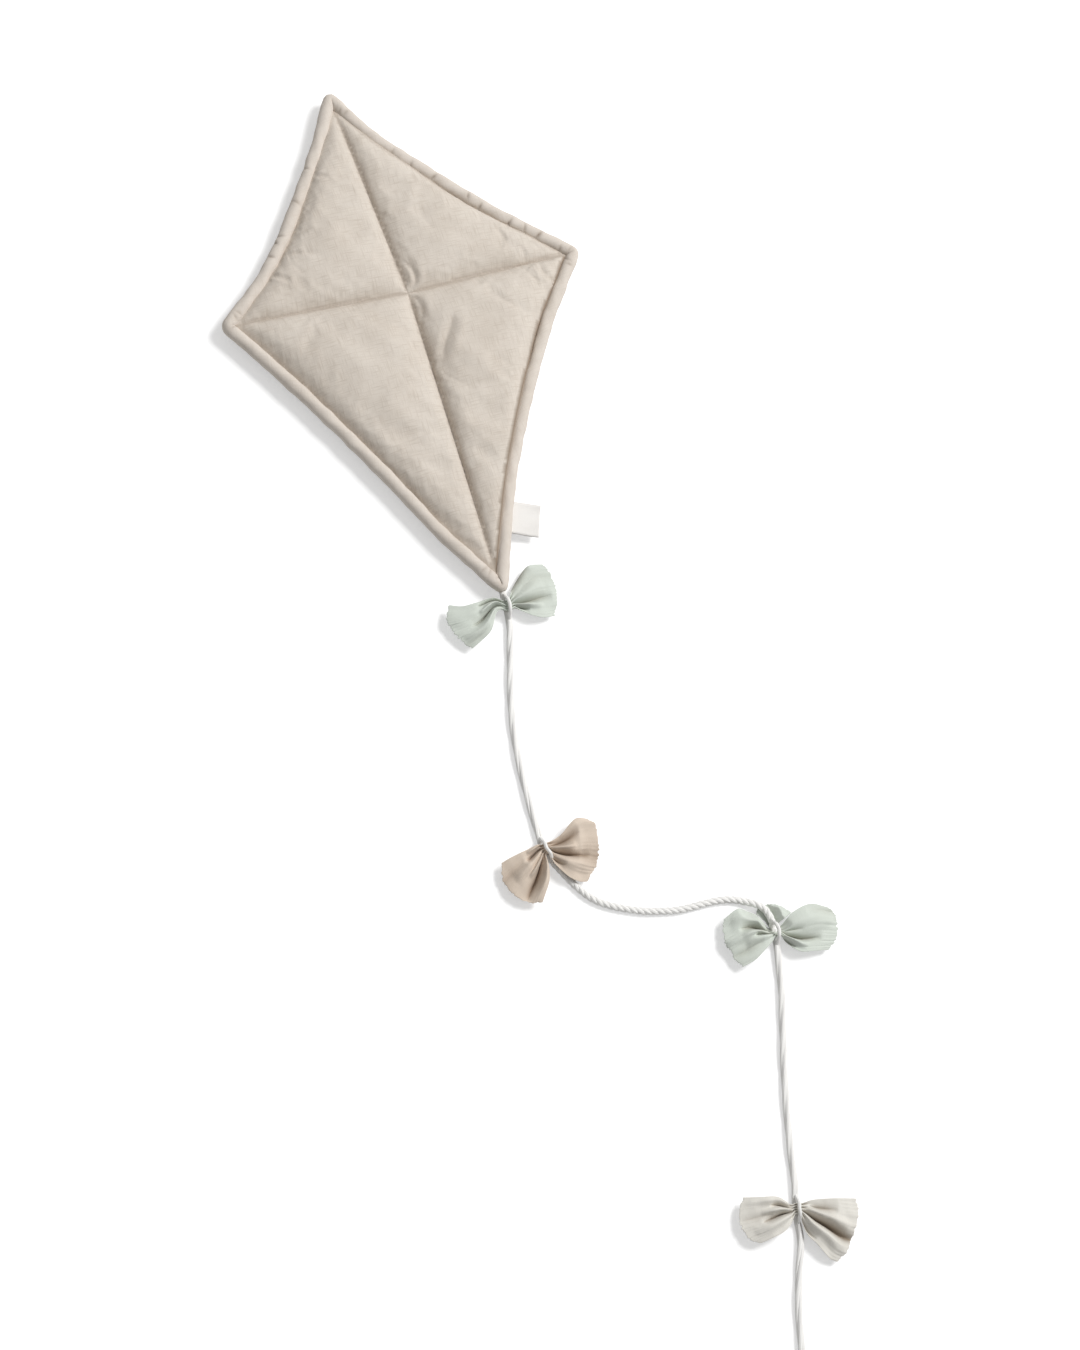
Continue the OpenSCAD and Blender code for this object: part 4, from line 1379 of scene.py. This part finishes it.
def wingGrid(wing, waist, shift, seed, press=None):
    # plan of one wing between its four edges, then the height of its pleats
    nOut, nAcross = bowCloth["wingSteps"] + 1, bowCloth["acrossSteps"] + 1
    outer = (np.array(wing["outer"]) + shift) * mm
    upper = edgeCurve(np.vstack([waist[0], (np.array(wing["upper"]) + shift) * mm, outer[0]]), nOut)
    lower = edgeCurve(np.vstack([waist[1], (np.array(wing["lower"])[::-1] + shift) * mm, outer[-1]]), nOut)
    rim = edgeCurve(outer, nAcross)
    rng = np.random.default_rng(seed)
    rim = rim * (1 + rng.normal(0, bowCloth["fray"] / bowCloth["frayReach"], nAcross))[:, None]
    rim[0], rim[-1] = outer[0], outer[-1]
    a = np.linspace(0, 1, nOut)[:, None]
    t = np.linspace(0, 1, nAcross)[None, :]
    root = waist[0] + (waist[1] - waist[0]) * t[0][:, None]
    plan = ((1 - t)[..., None] * upper[:, None, :] + t[..., None] * lower[:, None, :]
            + (1 - a)[..., None] * root[None, :, :] + a[..., None] * rim[None, :, :]
            - ((1 - a) * (1 - t))[..., None] * waist[0] - ((1 - a) * t)[..., None] * waist[1]
            - (a * (1 - t))[..., None] * outer[0] - (a * t)[..., None] * outer[-1])
    base = wing.get("base", tail["waistHeight"])
    height = base + (wing["edge"] - base) * a ** bowCloth["fall"] + bowCloth["billow"] * np.sin(math.pi * a)
    height = height + 0 * t  # one height for each point of the grid
    shade = 0 * height
    for first, last, begin, end, half, rise in wing["folds"]:
        share = np.clip((a - begin) / (end - begin), 0, 1)
        off = (t - first - (last - first) * share) / half
        # valleys are sharp, ridges are round
        profile = np.exp(-bowCloth["sharp"] * np.abs(off)) if rise < 0 else bump(off)
        ends = np.sin(math.pi * share) ** bowCloth["foldEnds"]
        height = height + rise * mm * ends * profile
        # painted shade in the valleys of the folds
        shade = shade + max(0, -rise) / bowCloth["fullShadeAt"] * ends * profile
    waves = bump(a / bowCloth["gatherReach"]) * np.cos(2 * math.pi * bowCloth["gathers"] * t)
    height = height + bowCloth["gather"] * waves
    # painted shade between the gathers at the waist
    shade = shade + bowCloth["gatherShade"] * np.maximum(0, -waves)
    ripple = softNoise(seed, bowCloth)
    height = height + bowCloth["ripple"] * a * ripple(plan[..., 0], plan[..., 1])
    if press is not None:
        height = np.minimum(height, press(plan))
    return plan, np.maximum(height, bowCloth["lowest"]), shade


def addSheet(shape, place, plan, height, shade):
    # one grid of cloth, its map running over the flat strip
    nRow, nAcross = height.shape
    cutLong, cutWide = bowCloth["cut"]
    base = len(shape["points"])
    shape["points"] += [(*(place + plan[i, j]), height[i, j]) for i in range(nRow) for j in range(nAcross)]
    shape["shades"] += list(shade.ravel())
    for i in range(nRow - 1):
        for j in range(nAcross - 1):
            first = base + i * nAcross + j
            shape["faces"].append((first, first + nAcross, first + nAcross + 1, first + 1))
            u0, u1 = cutLong * i / (nRow - 1), cutLong * (i + 1) / (nRow - 1)
            v0, v1 = cutWide * j / (nAcross - 1), cutWide * (j + 1) / (nAcross - 1)
            shape["pairs"] += [(u0, v0), (u1, v0), (u1, v1), (u0, v1)]


def makeBow(n):
    bow = bows[n]
    place = knotPlaces[n]
    right, left = bow["right"], bow["left"]
    way = np.mean(right["outer"], axis=0) - np.mean(left["outer"], axis=0)
    way = way / np.linalg.norm(way)
    up = np.array((-way[1], way[0]))
    half, tall = bowCloth["waistHalf"], bowCloth["waistTall"]
    press = pressedUnder(cordPaths[1], place) if n == 2 else None
    grids = []
    for wing, sign in ((right, 1), (left, -1)):
        waist = np.array([way * half * sign + up * tall, way * half * sign - up * tall])
        grids.append(wingGrid(wing, waist, bow["shift"], bow["seed"] + sign, press))
    shape = newShape()
    shape["shades"] = []
    addSheet(shape, place, *(np.concatenate([first[::-1], second]) for first, second in zip(*grids)))
    if "lobe" in bow:  # the cloth behind the knot puffs out above it
        rise = up * bowCloth["lobeUp"] * tall
        waist = np.array([rise - way * half, rise + way * half])
        seed = bow["seed"] + bowCloth["lobeSeed"]
        addSheet(shape, place, *wingGrid(bow["lobe"], waist, bow["shift"], seed, press))
    piece = addMesh(f"bowCloth{n + 1}", shape, finish[bow["finish"]])
    # painted shade in the folds, stronger on some bows
    paintFoldShade(piece, bow["paintedShade"] * np.array(shape["shades"]))
    thicken(piece, bowCloth["thick"])
    roundOff(piece)
    attach(piece, bowBodies[n], bow["slot"], f"bow_{n + 1}")


for n in range(len(bows)):
    makeBow(n)
print("bows gathered")

# Pale floor, soft key light from the upper right of the view, even fill
stage = {
    "key": 172.0,
    "keySize": 1.7,
    "keyAim": (0.02, -0.15, 0.0),
    "keyWay": (0.56, 0.14, 0.81),
    "keyFar": 4.5,
    "fill": 0.34,
    "floorHalf": 6.0,
    "floorColor": (0.8, 0.8, 0.8, 1.0),
    "floorGlow": 0.42,
    "middle": (0.02, -0.36, 0.0),
    "fade": (0.85, 1.5),  # the floor turns white between these distances from the middle
}


def seenOut(tree):
    # one where the viewer looks, straight or by way of a shiny or clear surface, otherwise nought
    path = addNode(tree, "ShaderNodeLightPath").outputs
    byWay = mathOut(tree, "MAXIMUM", path["Is Glossy Ray"], path["Is Transmission Ray"])
    return mathOut(tree, "MAXIMUM", path["Is Camera Ray"], byWay)


def makeStage():
    light = bpy.data.lights.new("keyLight", "AREA")
    light.energy = stage["key"]
    light.size = stage["keySize"]
    lamp = bpy.data.objects.new("keyLight", light)
    way = Vector(stage["keyWay"]).normalized()
    lamp.location = Vector(stage["keyAim"]) + way * stage["keyFar"]
    lamp.rotation_mode = "QUATERNION"
    lamp.rotation_quaternion = way.to_track_quat("Z", "Y")
    scene.collection.objects.link(lamp)

    world = bpy.data.worlds.new("studio")
    scene.world = world
    world.use_nodes = True
    tree = world.node_tree
    level = addNode(tree, "ShaderNodeMix", {0: seenOut(tree), 2: stage["fill"], 3: 1.0}).outputs[0]
    tree.links.new(level, tree.nodes["Background"].inputs["Strength"])
    tree.nodes["Background"].inputs["Color"].default_value = (1, 1, 1, 1)

    shape = newShape()
    far = stage["floorHalf"]
    shape["points"] = [(-far, -far, 0), (far, -far, 0), (far, far, 0), (-far, far, 0)]
    shape["faces"] = [(0, 1, 2, 3)]
    shape["pairs"] = [(0, 0), (1, 0), (1, 1), (0, 1)]
    material = bpy.data.materials.new("paleFloor")
    material.use_nodes = True
    tree = material.node_tree
    tree.nodes.clear()
    matte = addNode(tree, "ShaderNodeBsdfDiffuse", {"Color": stage["floorColor"]}).outputs[0]
    place = addNode(tree, "ShaderNodeNewGeometry").outputs["Position"]
    away = addNode(tree, "ShaderNodeVectorMath", {0: place, 1: stage["middle"]}, operation="DISTANCE")
    level = rangeOut(tree, away.outputs["Value"], *stage["fade"], stage["floorGlow"], 1.0)
    level = mathOut(tree, "MULTIPLY", seenOut(tree), level)
    glow = addNode(tree, "ShaderNodeEmission", {"Strength": level}).outputs[0]
    lit = addNode(tree, "ShaderNodeAddShader", {0: matte, 1: glow}).outputs[0]
    clear = addNode(tree, "ShaderNodeBsdfTransparent").outputs[0]
    under = addNode(tree, "ShaderNodeNewGeometry").outputs["Backfacing"]
    both = addNode(tree, "ShaderNodeMixShader", {0: under, 1: lit, 2: clear}).outputs[0]
    addNode(tree, "ShaderNodeOutputMaterial", {"Surface": both})
    floor = addMesh("floor", shape, material, smooth=False)


makeStage()
scene.view_settings.view_transform = "Standard"
print("stage lit")
